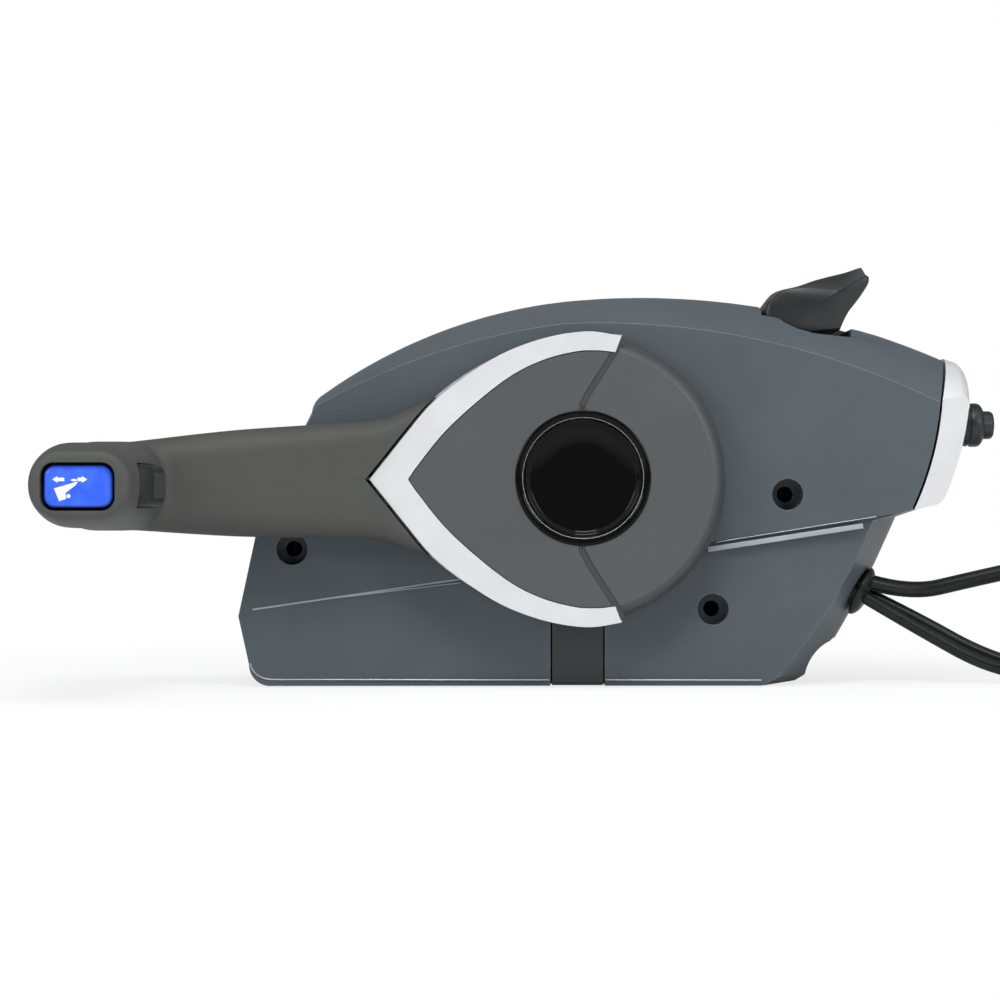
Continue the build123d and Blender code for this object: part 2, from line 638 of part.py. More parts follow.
# ---------------------------------------------------------------- lever: metal core
VESICA = (-7.7, 42.7, 100.0)                   # outer edge of the silver bezel: centre and radius
VESICA_IN = (-10.7, 34.8, 86.0)                # its inner edge
CAP_R = 26.2
SEAM = [(-0.4, 0), (-0.4, 26.5), (0.4, 31.0), (-12.1, 48.9), (-18.5, 62.0), (110, 62.0), (110, 0)]
ROD_F, ROD_R = 11.7, 2.0
BAR_HALF, BAR_END = 10.4, 178.0
LEVER_SCREWS = [(96, 5.9), (140, -5.9)]
LOCK_R = 31.5                                  # the lock rod's tip, from the shaft


def vesica(centre, half, radius, grow=0.0):
    """Two equal discs crossing on the lever's line, called as a private sketch."""
    with BuildSketch() as shape:
        with Locations((centre, half)):
            Circle(radius + grow)
        with Locations((centre, -half)):
            Circle(radius + grow, mode=Mode.INTERSECT)
    return shape.sketch


def forward_side(shift=0.0):
    """Everything forward of the covers' seams, mirrored about the lever's line."""
    half = [(x + shift, y) for x, y in SEAM]
    with BuildSketch() as shape:
        Polygon(*half, align=None)
        mirror(about=Plane.XZ)
    return shape.sketch


with BuildPart() as lever_core:
    with BuildSketch(LEVER.offset(HUB_BACK)):
        add(vesica(*VESICA))
        add(forward_side(), mode=Mode.INTERSECT)
        Circle(51)
        with Locations(((BAR_END + 60) / 2, 0)):
            Rectangle(BAR_END - 60, 2 * BAR_HALF)
    extrude(amount=HUB_PLATE)
    with BuildSketch(LEVER.offset(HUB_BACK)):
        Rectangle(14.2, 14.2)
        with Locations((LOCK_R + 3.5, 0)):
            Rectangle(15, 5.2)
        with Locations(*LEVER_SCREWS):
            Circle(2.7)
    extrude(amount=HUB_PLATE, mode=Mode.SUBTRACT)
save(lever_core, "lever_core")

with BuildPart() as lever_bolt:
    with BuildSketch(FACE.offset(HUB_BACK + HUB_PLATE)):
        Circle(12)
    extrude(amount=1.8)
    with BuildSketch(FACE.offset(HUB_BACK + HUB_PLATE + 1.8)):
        RegularPolygon(7.5, 6)
    extrude(amount=5)
    with BuildSketch(FACE.offset(HUB_BACK + HUB_PLATE)):
        Circle(4)
    extrude(amount=-20)
save(lever_bolt, "lever_bolt")

with BuildPart() as lock_plate:
    with BuildSketch(FACE):
        Circle(29)
        Circle(21.3, mode=Mode.SUBTRACT)
        with Locations((29 * cos(radians(98)), 29 * sin(radians(98)))):
            Circle(3.2, mode=Mode.SUBTRACT)
    extrude(amount=2.2)
save(lock_plate, "lock_plate")

# ---------------------------------------------------------------- lever: moulded arm and grip
# reach from the pivot, half height, front surface above the face
ARM = [(50, 36.0, 22.6), (61, 30.8, 23.2), (70, 27.2, 23.6), (82, 23.8, 24.0),
       (105, 22.5, 25.0), (130, 21.3, 27.0), (160, 19.0, 31.0), (184, 17.0, 33.0)]
# height above the face, middle of the section, half length, half height
GRIP = [(HUB_BACK, 183.4, 19.6, 16.4), (18, 183.8, 20.4, 17.4), (34, 183.8, 20.8, 17.6),
        (52, 183.8, 20.2, 16.6), (80, 184.0, 19.9, 15.9), (105, 184.0, 19.8, 15.5),
        (121, 183.2, 19.0, 14.2), (GRIP_FRONT, 182.3, 17.4, 12.0)]


GRIP_X = 182.3                                 # middle of the grip's end
TRIGGER_F, TRIGGER_LENGTH = 72.0, 58.0         # middle above the face, and length


def drop(reach):
    """How far the lever's middle line has come down at this reach."""
    return LEVER_DROP * max(0, reach - 60) / (LEVER_REACH - 60)


with BuildPart() as lever_body:
    for reach, half, front in ARM:
        with BuildSketch(lever_section(reach)):
            with Locations((drop(reach), (front + HUB_BACK) / 2)):
                RectangleRounded(2 * half, front - HUB_BACK, 8)
    loft()
    for height, middle, long_half, tall_half in GRIP:
        with BuildSketch(LEVER.offset(height)):
            with Locations((middle, LEVER_DROP)):
                RectangleRounded(2 * long_half, 2 * tall_half, tall_half * 0.86)
    loft()
    fillet(lever_body.faces().sort_by(Axis.Y)[0].edges(), 2.4)
    # the hub side is cut to the bezel's outline, with a narrow gap
    with BuildSketch(LEVER.offset(HUB_BACK - 1)):
        add(vesica(*VESICA, grow=1.3))
        with Locations((20, 0)):
            Rectangle(70, 140)
    extrude(amount=40, mode=Mode.SUBTRACT)
    # slot for the metal core, channel for the lock rod
    with BuildSketch(LEVER.offset(HUB_BACK - 1)):
        with Locations(((BAR_END + 60) / 2, 0)):
            Rectangle(BAR_END - 60 + 0.6, 2 * BAR_HALF + 0.4)
    extrude(amount=HUB_PLATE + 1, mode=Mode.SUBTRACT)
    with BuildSketch(LEVER.offset(HUB_BACK + HUB_PLATE)):
        with Locations((126, 0)):
            Rectangle(106, 5.2)
        with Locations(*LEVER_SCREWS):
            Circle(2.4)
    extrude(amount=5.4, mode=Mode.SUBTRACT)
    # hollow grip: leg of the trigger, then the trigger's slot facing the hub
    with BuildSketch(LEVER.offset(HUB_BACK + HUB_PLATE)):
        with Locations((181, LEVER_DROP)):
            Rectangle(24, 13)
    extrude(amount=88, mode=Mode.SUBTRACT)
    with BuildSketch(lever_section(181)):
        with Locations((LEVER_DROP, TRIGGER_F)):
            RectangleRounded(16.6, TRIGGER_LENGTH + 1.2, 7.4)
    extrude(amount=-43, mode=Mode.SUBTRACT)
    # pocket of the trim switch in the grip's end
    with BuildSketch(LEVER.offset(GRIP_FRONT)):
        with Locations((GRIP_X, LEVER_DROP)):
            RectangleRounded(26.4, 17.2, 4.6)
    extrude(amount=-26, mode=Mode.SUBTRACT)
save(lever_body, "lever_body")

with BuildPart() as lever_screws:
    with BuildSketch(LEVER.offset(HUB_BACK - 1.6)):
        with Locations(*LEVER_SCREWS):
            Circle(4.2)
    extrude(amount=1.6)
    with BuildSketch(LEVER.offset(HUB_BACK)):
        with Locations(*LEVER_SCREWS):
            Circle(2.3)
    extrude(amount=HUB_PLATE + 5)
save(lever_screws, "lever_screws")

# ---------------------------------------------------------------- hub covers
COVER_SEAT = HUB_BACK + HUB_PLATE
COVER_TOP = HUB_FRONT - 0.4


with BuildPart() as silver_bezel:
    with BuildSketch(LEVER.offset(COVER_SEAT)):
        add(vesica(*VESICA))
        add(forward_side(), mode=Mode.INTERSECT)
        add(vesica(*VESICA_IN), mode=Mode.SUBTRACT)
    extrude(amount=HUB_FRONT - COVER_SEAT)
    with BuildSketch(LEVER.offset(COVER_SEAT)):
        with Locations((75, 0)):
            Rectangle(40, 5.2)
    extrude(amount=5.2, mode=Mode.SUBTRACT)
    chamfer(silver_bezel.faces().sort_by(Axis.Y)[0].edges().sort_by(Axis.X)[:2], 0.8)
save(silver_bezel, "silver_bezel")

with BuildPart() as hub_front_cover:
    with BuildSketch(LEVER.offset(COVER_SEAT)):
        add(vesica(*VESICA_IN, grow=-GAP))
        add(forward_side(0.5), mode=Mode.INTERSECT)
        Circle(CAP_R + GAP, mode=Mode.SUBTRACT)
    extrude(amount=COVER_TOP - COVER_SEAT)
    with BuildSketch(LEVER.offset(COVER_SEAT)):
        add(vesica(*VESICA_IN, grow=-2.6))
        add(forward_side(3.0), mode=Mode.INTERSECT)
        Circle(CAP_R + 2.6, mode=Mode.SUBTRACT)
    extrude(amount=COVER_TOP - COVER_SEAT - 2.6, mode=Mode.SUBTRACT)
    with BuildSketch(LEVER.offset(COVER_SEAT)):
        with Locations((60, 0)):
            Rectangle(80, 5.2)
    extrude(amount=5.2, mode=Mode.SUBTRACT)
save(hub_front_cover, "hub_front_cover")

REAR_R, REAR_TOP_R = 56.8, 51.6
REAR_SLOPE = degrees(atan((REAR_R - REAR_TOP_R) / (COVER_TOP - HUB_BACK)))

with BuildPart() as hub_rear_cover:
    with BuildSketch(LEVER.offset(HUB_BACK)):
        Circle(REAR_R)
    extrude(amount=COVER_TOP - HUB_BACK, taper=REAR_SLOPE)
    fillet(hub_rear_cover.faces().sort_by(Axis.Y)[0].edges(), 2.0)
    with BuildSketch(LEVER.offset(HUB_BACK)):
        Circle(52)
    extrude(amount=HUB_PLATE, mode=Mode.SUBTRACT)
    with BuildSketch(LEVER.offset(COVER_SEAT)):
        Circle(48.5)
        Circle(CAP_R + 2.6, mode=Mode.SUBTRACT)
    extrude(amount=COVER_TOP - COVER_SEAT - 2.6, mode=Mode.SUBTRACT)
    with BuildSketch(LEVER.offset(HUB_BACK)):
        add(forward_side(-0.9))
        Circle(CAP_R + GAP)
    extrude(amount=30, mode=Mode.SUBTRACT)
save(hub_rear_cover, "hub_rear_cover")

with BuildPart() as cap_ring:
    with BuildSketch(FACE.offset(HUB_BACK + HUB_PLATE)):
        Circle(CAP_R)
        Circle(CAP_R - 2.9, mode=Mode.SUBTRACT)
    extrude(amount=HUB_FRONT + 0.8 - HUB_BACK - HUB_PLATE)
    with BuildSketch(LEVER.offset(COVER_SEAT)):
        with Locations((25, 0)):
            Rectangle(16, 5.2)
    extrude(amount=5.2, mode=Mode.SUBTRACT)
    chamfer(cap_ring.faces().sort_by(Axis.Y)[0].edges(), 0.7)
save(cap_ring, "cap_ring")

CAP_EDGE = CAP_R - 2.9 - GAP
with BuildPart() as hub_cap:
    with BuildSketch(Plane(origin=FACE.origin, x_dir=(1, 0, 0), z_dir=(0, 0, 1))):
        with BuildLine():
            Polyline((0, -17.0), (CAP_EDGE, -17.0), (CAP_EDGE, -20.8))
            ThreePointArc((CAP_EDGE, -20.8), (CAP_EDGE - 0.7, -21.9), (CAP_EDGE - 1.9, -22.2))
            ThreePointArc((CAP_EDGE - 1.9, -22.2), (CAP_EDGE - 2.9, -21.9), (CAP_EDGE - 3.6, -21.0))
            Polyline((CAP_EDGE - 3.6, -21.0), (CAP_EDGE - 5.0, -20.2), (0, -20.2), (0, -17.0))
        make_face()
    revolve(axis=Axis(origin=FACE.origin, direction=(0, 1, 0)))
save(hub_cap, "hub_cap")

# ---------------------------------------------------------------- grip: trim rocker, trigger, lock rod
SWITCH_BACK, SWITCH_FRONT, ROCKER_AXIS = 104.4, 120.0, 121.8

with BuildPart() as trim_switch_body:
    with BuildSketch(LEVER.offset(SWITCH_BACK)):
        with Locations((GRIP_X, LEVER_DROP)):
            RectangleRounded(25.6, 16.4, 4.2)
    extrude(amount=SWITCH_FRONT - SWITCH_BACK)
save(trim_switch_body, "trim_switch_body")

ROCKER_AXIS = 121.8                            # in front of the face
ROCKER_FACE = Plane(
    origin=(PIVOT_X - GRIP_X, FACE_Y, PIVOT_Z - LEVER_DROP + 7.5), x_dir=(1, 0, 0), z_dir=(0, 0, 1)
)
with BuildPart() as trim_rocker:
    with BuildSketch(ROCKER_FACE):
        with BuildLine():
            Polyline((-2, -120.4), (-11.7, -124.4), (-11.7, -129.0))
            ThreePointArc((-11.7, -129.0), (0, -128.0), (11.7, -129.0))
            Polyline((11.7, -129.0), (11.7, -124.4), (2, -120.4), (-2, -120.4))
        make_face()
    extrude(amount=-15)
    fillet(trim_rocker.edges().filter_by(Axis.Y), 3.2)
    fillet(trim_rocker.faces().sort_by(Axis.Y)[0].edges(), 0.7)
    # pivot pin
    with BuildSketch(ROCKER_FACE.offset(0.7)):
        with Locations((0, -ROCKER_AXIS)):
            Circle(1.3)
    extrude(amount=-16.4)
save(trim_rocker, "trim_rocker")

TRIGGER_FRONT = 157.6                          # its pressing face, from the pivot
with BuildPart() as lock_trigger:
    with BuildSketch(lever_section(TRIGGER_FRONT)):
        with Locations((LEVER_DROP, TRIGGER_F)):
            RectangleRounded(15.6, TRIGGER_LENGTH, 7)
    extrude(amount=16)
    fillet(lock_trigger.faces().sort_by(Axis.X)[-1].edges(), 2.2)
    with BuildSketch(LEVER.offset(COVER_SEAT + 0.4)):
        with Locations((172.5, LEVER_DROP)):
            Rectangle(5.6, 8)
    extrude(amount=60)
    with BuildSketch(lever_section(175.4)):
        with Locations((LEVER_DROP, TRIGGER_F)):
            Circle(4.6)
    extrude(amount=-5.4, mode=Mode.SUBTRACT)
save(lock_trigger, "lock_trigger")

with BuildPart() as lock_rod:
    with BuildSketch(lever_section(LOCK_R)):
        with Locations((0, ROD_F)):
            Circle(ROD_R)
    extrude(amount=169.7 - LOCK_R)
    with BuildSketch(LEVER.offset(0.9)):
        with Locations((LOCK_R, 0)):
            Circle(ROD_R)
    extrude(amount=ROD_F - 0.9)
save(lock_rod, "lock_rod")

TRIGGER_SPRING_R = 3.6
with BuildPart() as trigger_spring:
    with BuildSketch(lever_section(170.1)):
        with Locations((LEVER_DROP, TRIGGER_F)):
            Circle(TRIGGER_SPRING_R + 0.5)
            Circle(TRIGGER_SPRING_R - 0.5, mode=Mode.SUBTRACT)
    extrude(amount=192.9 - 170.1)
save(trigger_spring, "trigger_spring")

with BuildPart() as stop_spring:
    with BuildSketch(AFT.offset(PANEL_FRONT - 8.9)):
        with Locations((STOP_DEPTH, SWITCH_Z)):
            Circle(3.2)
            Circle(2.2, mode=Mode.SUBTRACT)
    extrude(amount=4.8)
save(stop_spring, "stop_spring")

# ---------------------------------------------------------------- grommet
with BuildPart() as cable_grommet:
    with BuildSketch(WALL_PLANE.offset(2.1)):
        Circle(10.5)
    extrude(amount=2.6, taper=14)
    with BuildSketch(WALL_PLANE.offset(-6)):
        Circle(GROMMET_R - GAP)
    extrude(amount=8.4)
    fillet(cable_grommet.faces().sort_by(Axis.X)[-1].edges(), 0.8)
save(cable_grommet, "cable_grommet")

# ---------------------------------------------------------------- cords, coils and plugs
# Each cord: diameter, place in the grommet, route, side of the coil, plug radius and length.
# A route point is (aft of the grommet, further from the operator, height above the table).
HARNESS_D, LEAD_D = 6.6, 5.0
CORDS = {
    "harness": (
        HARNESS_D, (-1.2, 3.6),
        [(21, 1, 35.6), (47, 3, 41.6), (83, 5.5, 49.4), (117, 9, 20), (152, 13, 3.3), (178, 15.5, 3.3)],
        1, 12.0, 46.0,
    ),
    "sensor_lead": (
        LEAD_D, (3.4, -0.4),
        [(24, 4.5, 26.4), (54, 6, 9.6), (84, 8, 2.5), (108, 10, 2.5)],
        1, 6.5, 27.0,
    ),
    "power_lead": (
        LEAD_D, (-2.9, -2.4),
        [(24, -3.8, 21.6), (54, -5.4, 4.9), (80, -7.5, 2.5), (106, -10, 2.5)],
        -1, 6.5, 27.0,
    ),
}
COIL_RATIO = 11.0                              # coil's middle diameter in cord diameters
COIL_LAYERS = 2


def corner_radii(points):
    """Largest easy bend at each corner of a route."""
    radii = []
    for before, here, after in zip(points, points[1:], points[2:]):
        first, second = Vector(*here) - Vector(*before), Vector(*after) - Vector(*here)
        turn = radians(first.get_angle(second))
        radii.append(0.45 * min(first.length, second.length) / tan(turn / 2))
    return radii


for name, (diameter, place, route, side, plug_r, plug_length) in CORDS.items():
    start = WALL_PLANE.from_local_coords((*place, 1.0))
    points = [tuple(start)]
    points += [(WALL_PLANE.origin.X + aft, WALL_PLANE.origin.Y + away, up) for aft, away, up in route]
    radii = corner_radii(points)
    with BuildPart() as cord:
        with BuildLine() as line:
            FilletPolyline(*points, radius=radii)
        with BuildSketch(Plane(origin=line.line @ 0, z_dir=line.line % 0)):
            Circle(diameter / 2)
        sweep()
    length = sum(edge.length for edge in line.edges())
    section = pi * diameter ** 2 / 4
    print(f"{name}: route {length:.1f} mm, radii {[round(r) for r in radii]}, "
          f"volume ratio {cord.part.volume / (section * length):.4f}")
    save(cord, f"{name}_cord")

    heading = Vector(*points[-1]) - Vector(*points[-2])
    heading = heading.normalized()
    across = Vector(-heading.Y, heading.X, 0) * side
    mean_r = COIL_RATIO * diameter / 2
    centre = Vector(*points[-1]) + across * mean_r
    height = COIL_LAYERS * diameter
    with BuildPart() as coil:
        with BuildSketch(Plane(origin=(centre.X, centre.Y, 0), x_dir=(1, 0, 0), z_dir=(0, -1, 0))):
            with Locations((mean_r, height / 2)):
                RectangleRounded(diameter, height, diameter * 0.49)
        revolve(axis=Axis(origin=(centre.X, centre.Y, 0), direction=(0, 0, 1)))
    save(coil, f"{name}_coil")

    far_side = centre + across * mean_r
    plug_plane = Plane(
        origin=(far_side.X, far_side.Y, plug_r), x_dir=(0, 0, 1), z_dir=(-heading.X, -heading.Y, 0)
    )
    with BuildPart() as plug:
        with BuildSketch(plug_plane.offset(4)):
            Circle(diameter * 0.75)
        with BuildSketch(plug_plane.offset(4 + plug_length * 0.3)):
            Circle(plug_r * 0.8)
        loft()
        with BuildSketch(plug_plane.offset(4 + plug_length * 0.3)):
            Circle(plug_r)
        extrude(amount=plug_length * 0.7)
        chamfer(plug.faces().sort_by(Axis.X)[0].edges(), plug_r * 0.08)
        with BuildSketch(plug_plane.offset(4 + plug_length)):
            Circle(plug_r * 0.78)
            Circle(plug_r * 0.62, mode=Mode.SUBTRACT)
        extrude(amount=-plug_length * 0.3, mode=Mode.SUBTRACT)
    save(plug, f"{name}_plug")
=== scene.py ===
"""Dresses a side-mount outboard control box: housing, control lever, switches and cords."""

import json
from math import cos, hypot, pi, radians, sin, sqrt

import bmesh
import bpy
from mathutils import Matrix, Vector


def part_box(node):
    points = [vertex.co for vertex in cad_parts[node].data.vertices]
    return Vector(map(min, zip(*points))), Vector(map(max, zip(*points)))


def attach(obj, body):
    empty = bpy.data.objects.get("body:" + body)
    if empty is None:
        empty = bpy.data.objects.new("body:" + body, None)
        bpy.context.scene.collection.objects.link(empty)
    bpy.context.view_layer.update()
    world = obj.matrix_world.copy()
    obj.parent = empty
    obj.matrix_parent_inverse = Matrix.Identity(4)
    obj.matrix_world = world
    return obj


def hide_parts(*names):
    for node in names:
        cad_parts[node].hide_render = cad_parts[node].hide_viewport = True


bl_info = {
    "name": "Outboard Control Box",
    "version": (1, 0, 0),
    "blender": (4, 5, 0),
    "location": "3D View > Sidebar > Control Box",
    "description": "Builds the finished pieces, cords and studio of a side-mount outboard control box",
    "category": "Object",
}

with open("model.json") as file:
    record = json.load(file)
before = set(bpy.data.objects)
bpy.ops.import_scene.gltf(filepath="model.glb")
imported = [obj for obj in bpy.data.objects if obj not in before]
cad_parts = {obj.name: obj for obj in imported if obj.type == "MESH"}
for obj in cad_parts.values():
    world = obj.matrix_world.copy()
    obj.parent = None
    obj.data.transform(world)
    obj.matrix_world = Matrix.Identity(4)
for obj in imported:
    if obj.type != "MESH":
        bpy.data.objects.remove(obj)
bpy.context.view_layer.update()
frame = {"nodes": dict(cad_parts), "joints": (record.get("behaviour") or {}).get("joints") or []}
NODES = frame["nodes"]

# ---------------------------------------------------------------- places taken from the frame
MM = 0.001
PIVOT = Vector(next(j for j in frame["joints"] if j["name"] == "control_lever")["pos_m"])
FACE_Y = PIVOT.y                               # front face of the housing
ROCKER_DROP = 3.8                              # rocker's middle below the pivot, millimetres
GRIP_X = 182.3                                 # pivot to the middle of the grip's end, millimetres
LEVER_REACH = 0.182                            # reach at which the lever's drop is measured
ARM_START = 0.060                              # reach at which the lever starts to drop
LEVER_DROP = 0.0032                            # how far the grip's middle hangs below the pivot
HUB_BACK = 0.0032                              # back of the lever above the face


def at(x, z, front=0.0):
    """Point in millimetres from the pivot: aft, up and in front of the face."""
    return Vector((PIVOT.x + x * MM, FACE_Y - front * MM, PIVOT.z + z * MM))


# ---------------------------------------------------------------- shader expressions
class Graph:
    """Node tree of one material, or of the world."""

    def __init__(self, name, world=None):
        self.material = world or bpy.data.materials.new(name)
        self.material.use_nodes = True
        self.tree = self.material.node_tree
        self.tree.nodes.clear()

    def node(self, kind, settings=None, inputs=None, output=0):
        """Add a node: settings first, then values or links for its sockets."""
        made = self.tree.nodes.new(kind)
        for key, value in (settings or {}).items():
            setattr(made, key, value)
        for key, value in (inputs or {}).items():
            socket = made.inputs[key]
            if isinstance(value, Wire):
                self.tree.links.new(value.socket, socket)
            elif isinstance(value, tuple) and len(value) == 3 and len(socket.default_value) == 4:
                socket.default_value = (*value, 1)
            else:
                socket.default_value = value
        return Wire(self, made.outputs[output]) if made.outputs else None

    def maths(self, operation, *values, clamp=False):
        inputs = dict(enumerate(values))
        return self.node("ShaderNodeMath", {"operation": operation, "use_clamp": clamp}, inputs)

    def mix(self, factor, a, b):
        """Colour between a and b."""
        return self.node("ShaderNodeMix", {"data_type": "RGBA"}, {0: factor, 6: a, 7: b}, output=2)

    def place(self):
        """The piece's own coordinates in metres."""
        return self.node("ShaderNodeTexCoord", output=3)

    def axis(self, name):
        split = self.node("ShaderNodeSeparateXYZ", inputs={0: self.place()})
        return Wire(self, split.socket.node.outputs["XYZ".index(name)])

    def noise(self, scale, detail=3.0, rough=0.55, place=None):
        inputs = {"Vector": place or self.place(), "Scale": scale, "Detail": detail, "Roughness": rough}
        return self.node("ShaderNodeTexNoise", None, inputs)

    def cells(self, scale, output=0):
        return self.node("ShaderNodeTexVoronoi", None, {"Vector": self.place(), "Scale": scale}, output)

    def bump(self, height, depth, strength=1.0, under=None):
        inputs = {"Height": height, "Distance": depth, "Strength": strength}
        if under is not None:
            inputs["Normal"] = under
        return self.node("ShaderNodeBump", None, inputs)

    def surface(self, **sockets):
        """Principled surface; names use _ for spaces."""
        inputs = {key.replace("_", " "): value for key, value in sockets.items()}
        shader = self.node("ShaderNodeBsdfPrincipled", None, inputs)
        self.node("ShaderNodeOutputMaterial", None, {0: shader})
        return self.material


class Wire:
    """A socket that takes part in expressions."""

    def __init__(self, graph, socket):
        self.graph, self.socket = graph, socket

    def __add__(self, other):
        return self.graph.maths("ADD", self, other)

    def __sub__(self, other):
        return self.graph.maths("SUBTRACT", self, other)

    def __rsub__(self, other):
        return self.graph.maths("SUBTRACT", other, self)

    def __mul__(self, other):
        return self.graph.maths("MULTIPLY", self, other)

    def __truediv__(self, other):
        return self.graph.maths("DIVIDE", self, other)

    def __pow__(self, other):
        return self.graph.maths("POWER", self, other)

    def __abs__(self):
        return self.graph.maths("ABSOLUTE", self)

    __radd__, __rmul__ = __add__, __mul__

    def over(self, low, high):
        """0 below low, 1 above high, smooth between."""
        inputs = {"Value": self, "From Min": low, "From Max": high}
        return self.graph.node("ShaderNodeMapRange", {"interpolation_type": "SMOOTHSTEP"}, inputs)


# ---------------------------------------------------------------- finishes
GRAIN_SCALE, GRAIN_DEPTH = 2600, 0.00003       # spark-eroded grain of a mould


def moulded(name, colour, light, rough=0.42, specks=0.0, coat=0.0, gloss=0.5):
    """Moulded plastic: fine spark-eroded grain, faint flow marks, a few pale moulding specks."""
    g = Graph(name)
    flow = g.noise(22, 4, 0.6).over(0.32, 0.68)
    base = g.mix(flow, colour, light)
    if specks:
        dots = g.cells(210)
        rare = g.noise(120, 0).over(0.64, 0.68)
        base = g.mix((1 - dots.over(0.03, 0.07)) * rare * specks, base, tuple(0.12 + 0.6 * c for c in colour))
    sheen = g.noise(300, 2)
    roughness = rough - 0.04 + 0.08 * sheen
    grained = g.bump(g.noise(GRAIN_SCALE, 2, 0.5), GRAIN_DEPTH, 0.35)
    return g.surface(
        Base_Color=base, Roughness=roughness, Normal=grained, Coat_Weight=coat, Coat_Roughness=0.16,
        Specular_IOR_Level=gloss,
    )


def soft_touch():
    """Soft-touch overmould: dead matt, with finger wear along the middle, a moulding seam along the lever."""
    g = Graph("soft_touch")
    colour, light = (0.054, 0.056, 0.052), (0.062, 0.064, 0.060)
    worn = g.noise(30, 4, 0.6).over(0.25, 0.75)
    fine = g.noise(1900, 2)
    base = g.mix(worn, colour, light)
    reach = (PIVOT.x - ARM_START) - g.axis("X")
    seam_z = PIVOT.z - LEVER_DROP * (reach / (LEVER_REACH - ARM_START))
    seam = 1 - abs(g.axis("Z") - seam_z).over(0.00008, 0.0003)
    on_arm = g.axis("Y").over(FACE_Y - 0.040, FACE_Y - 0.036)
    base = g.mix(seam * on_arm * 0.35, base, (0.045, 0.046, 0.044))
    normal = g.bump(fine, 0.00004, 0.4)
    normal = g.bump(1 - seam * on_arm, 0.00012, 0.5, normal)
    return g.surface(Base_Color=base, Roughness=0.56 + 0.12 * fine, Normal=normal, Specular_IOR_Level=0.42)


def satin_silver():
    """Satin silver plating on a moulding: fine lengthwise brushing and soft waviness."""
    g = Graph("silver_trim")
    stretch = {"Vector": g.place(), "Scale": (60, 60, 1600)}
    squeezed = g.node("ShaderNodeMapping", {"vector_type": "POINT"}, stretch)
    brushed = g.noise(1.0, 3, 0.6, squeezed)
    cloud = g.noise(30, 3)
    base = g.mix(cloud.over(0.3, 0.7), (0.66, 0.67, 0.68), (0.72, 0.73, 0.74))
    normal = g.bump(brushed, 0.00002, 0.25)
    return g.surface(Base_Color=base, Metallic=0.25, Roughness=0.34 + 0.10 * brushed, Normal=normal)


def gloss_black():
    """Polished black lens over the hub."""
    g = Graph("gloss_black")
    swirl = g.noise(420, 2)
    dust = (1 - g.cells(600).over(0.04, 0.09)) * g.noise(300, 0).over(0.68, 0.7)
    base = g.mix(dust * 0.5, (0.004, 0.004, 0.0042), (0.05, 0.05, 0.05))
    return g.surface(Base_Color=base, Roughness=0.03 + 0.04 * swirl, Specular_IOR_Level=0.10)


def blue_plastic():
    """Coloured-through rocker moulding."""
    g = Graph("blue_plastic")
    cloud = g.noise(150, 3).over(0.3, 0.7)
    base = g.mix(cloud, (0.020, 0.095, 0.76), (0.036, 0.140, 0.90))
    grain = g.noise(3200, 2)
    return g.surface(Base_Color=base, Roughness=0.30 + 0.1 * grain, Normal=g.bump(grain, 0.00002, 0.3))


def print_white():
    """Pad-printed white symbols, slightly uneven."""
    g = Graph("white_print")
    uneven = g.noise(1500, 3).over(0.25, 0.55)
    base = g.mix(uneven, (0.66, 0.70, 0.80), (0.88, 0.89, 0.92))
    return g.surface(Base_Color=base, Roughness=0.5 + 0.1 * uneven)


def sheath():
    """Smooth black cord sheath with faint extrusion lines and dust."""
    g = Graph("cord_rubber")
    fine = g.noise(180, 2)
    cloud = g.noise(60, 4).over(0.35, 0.7)
    base = g.mix(cloud, (0.007, 0.008, 0.008), (0.012, 0.013, 0.013))
    return g.surface(Base_Color=base, Roughness=0.24 + 0.04 * fine, Specular_IOR_Level=0.30)


def metal(name, colour, light, rough, scale, metallic=1.0):
    """Plated, cast or sintered metal with its own grain."""
    g = Graph(name)
    cloud = g.noise(scale, 4, 0.6)
    fine = g.noise(scale * 12, 2)
    base = g.mix(cloud.over(0.3, 0.7), colour, light)
    return g.surface(
        Base_Color=base, Metallic=metallic, Roughness=rough + 0.14 * cloud, Normal=g.bump(fine, 0.00003, 0.35)
    )


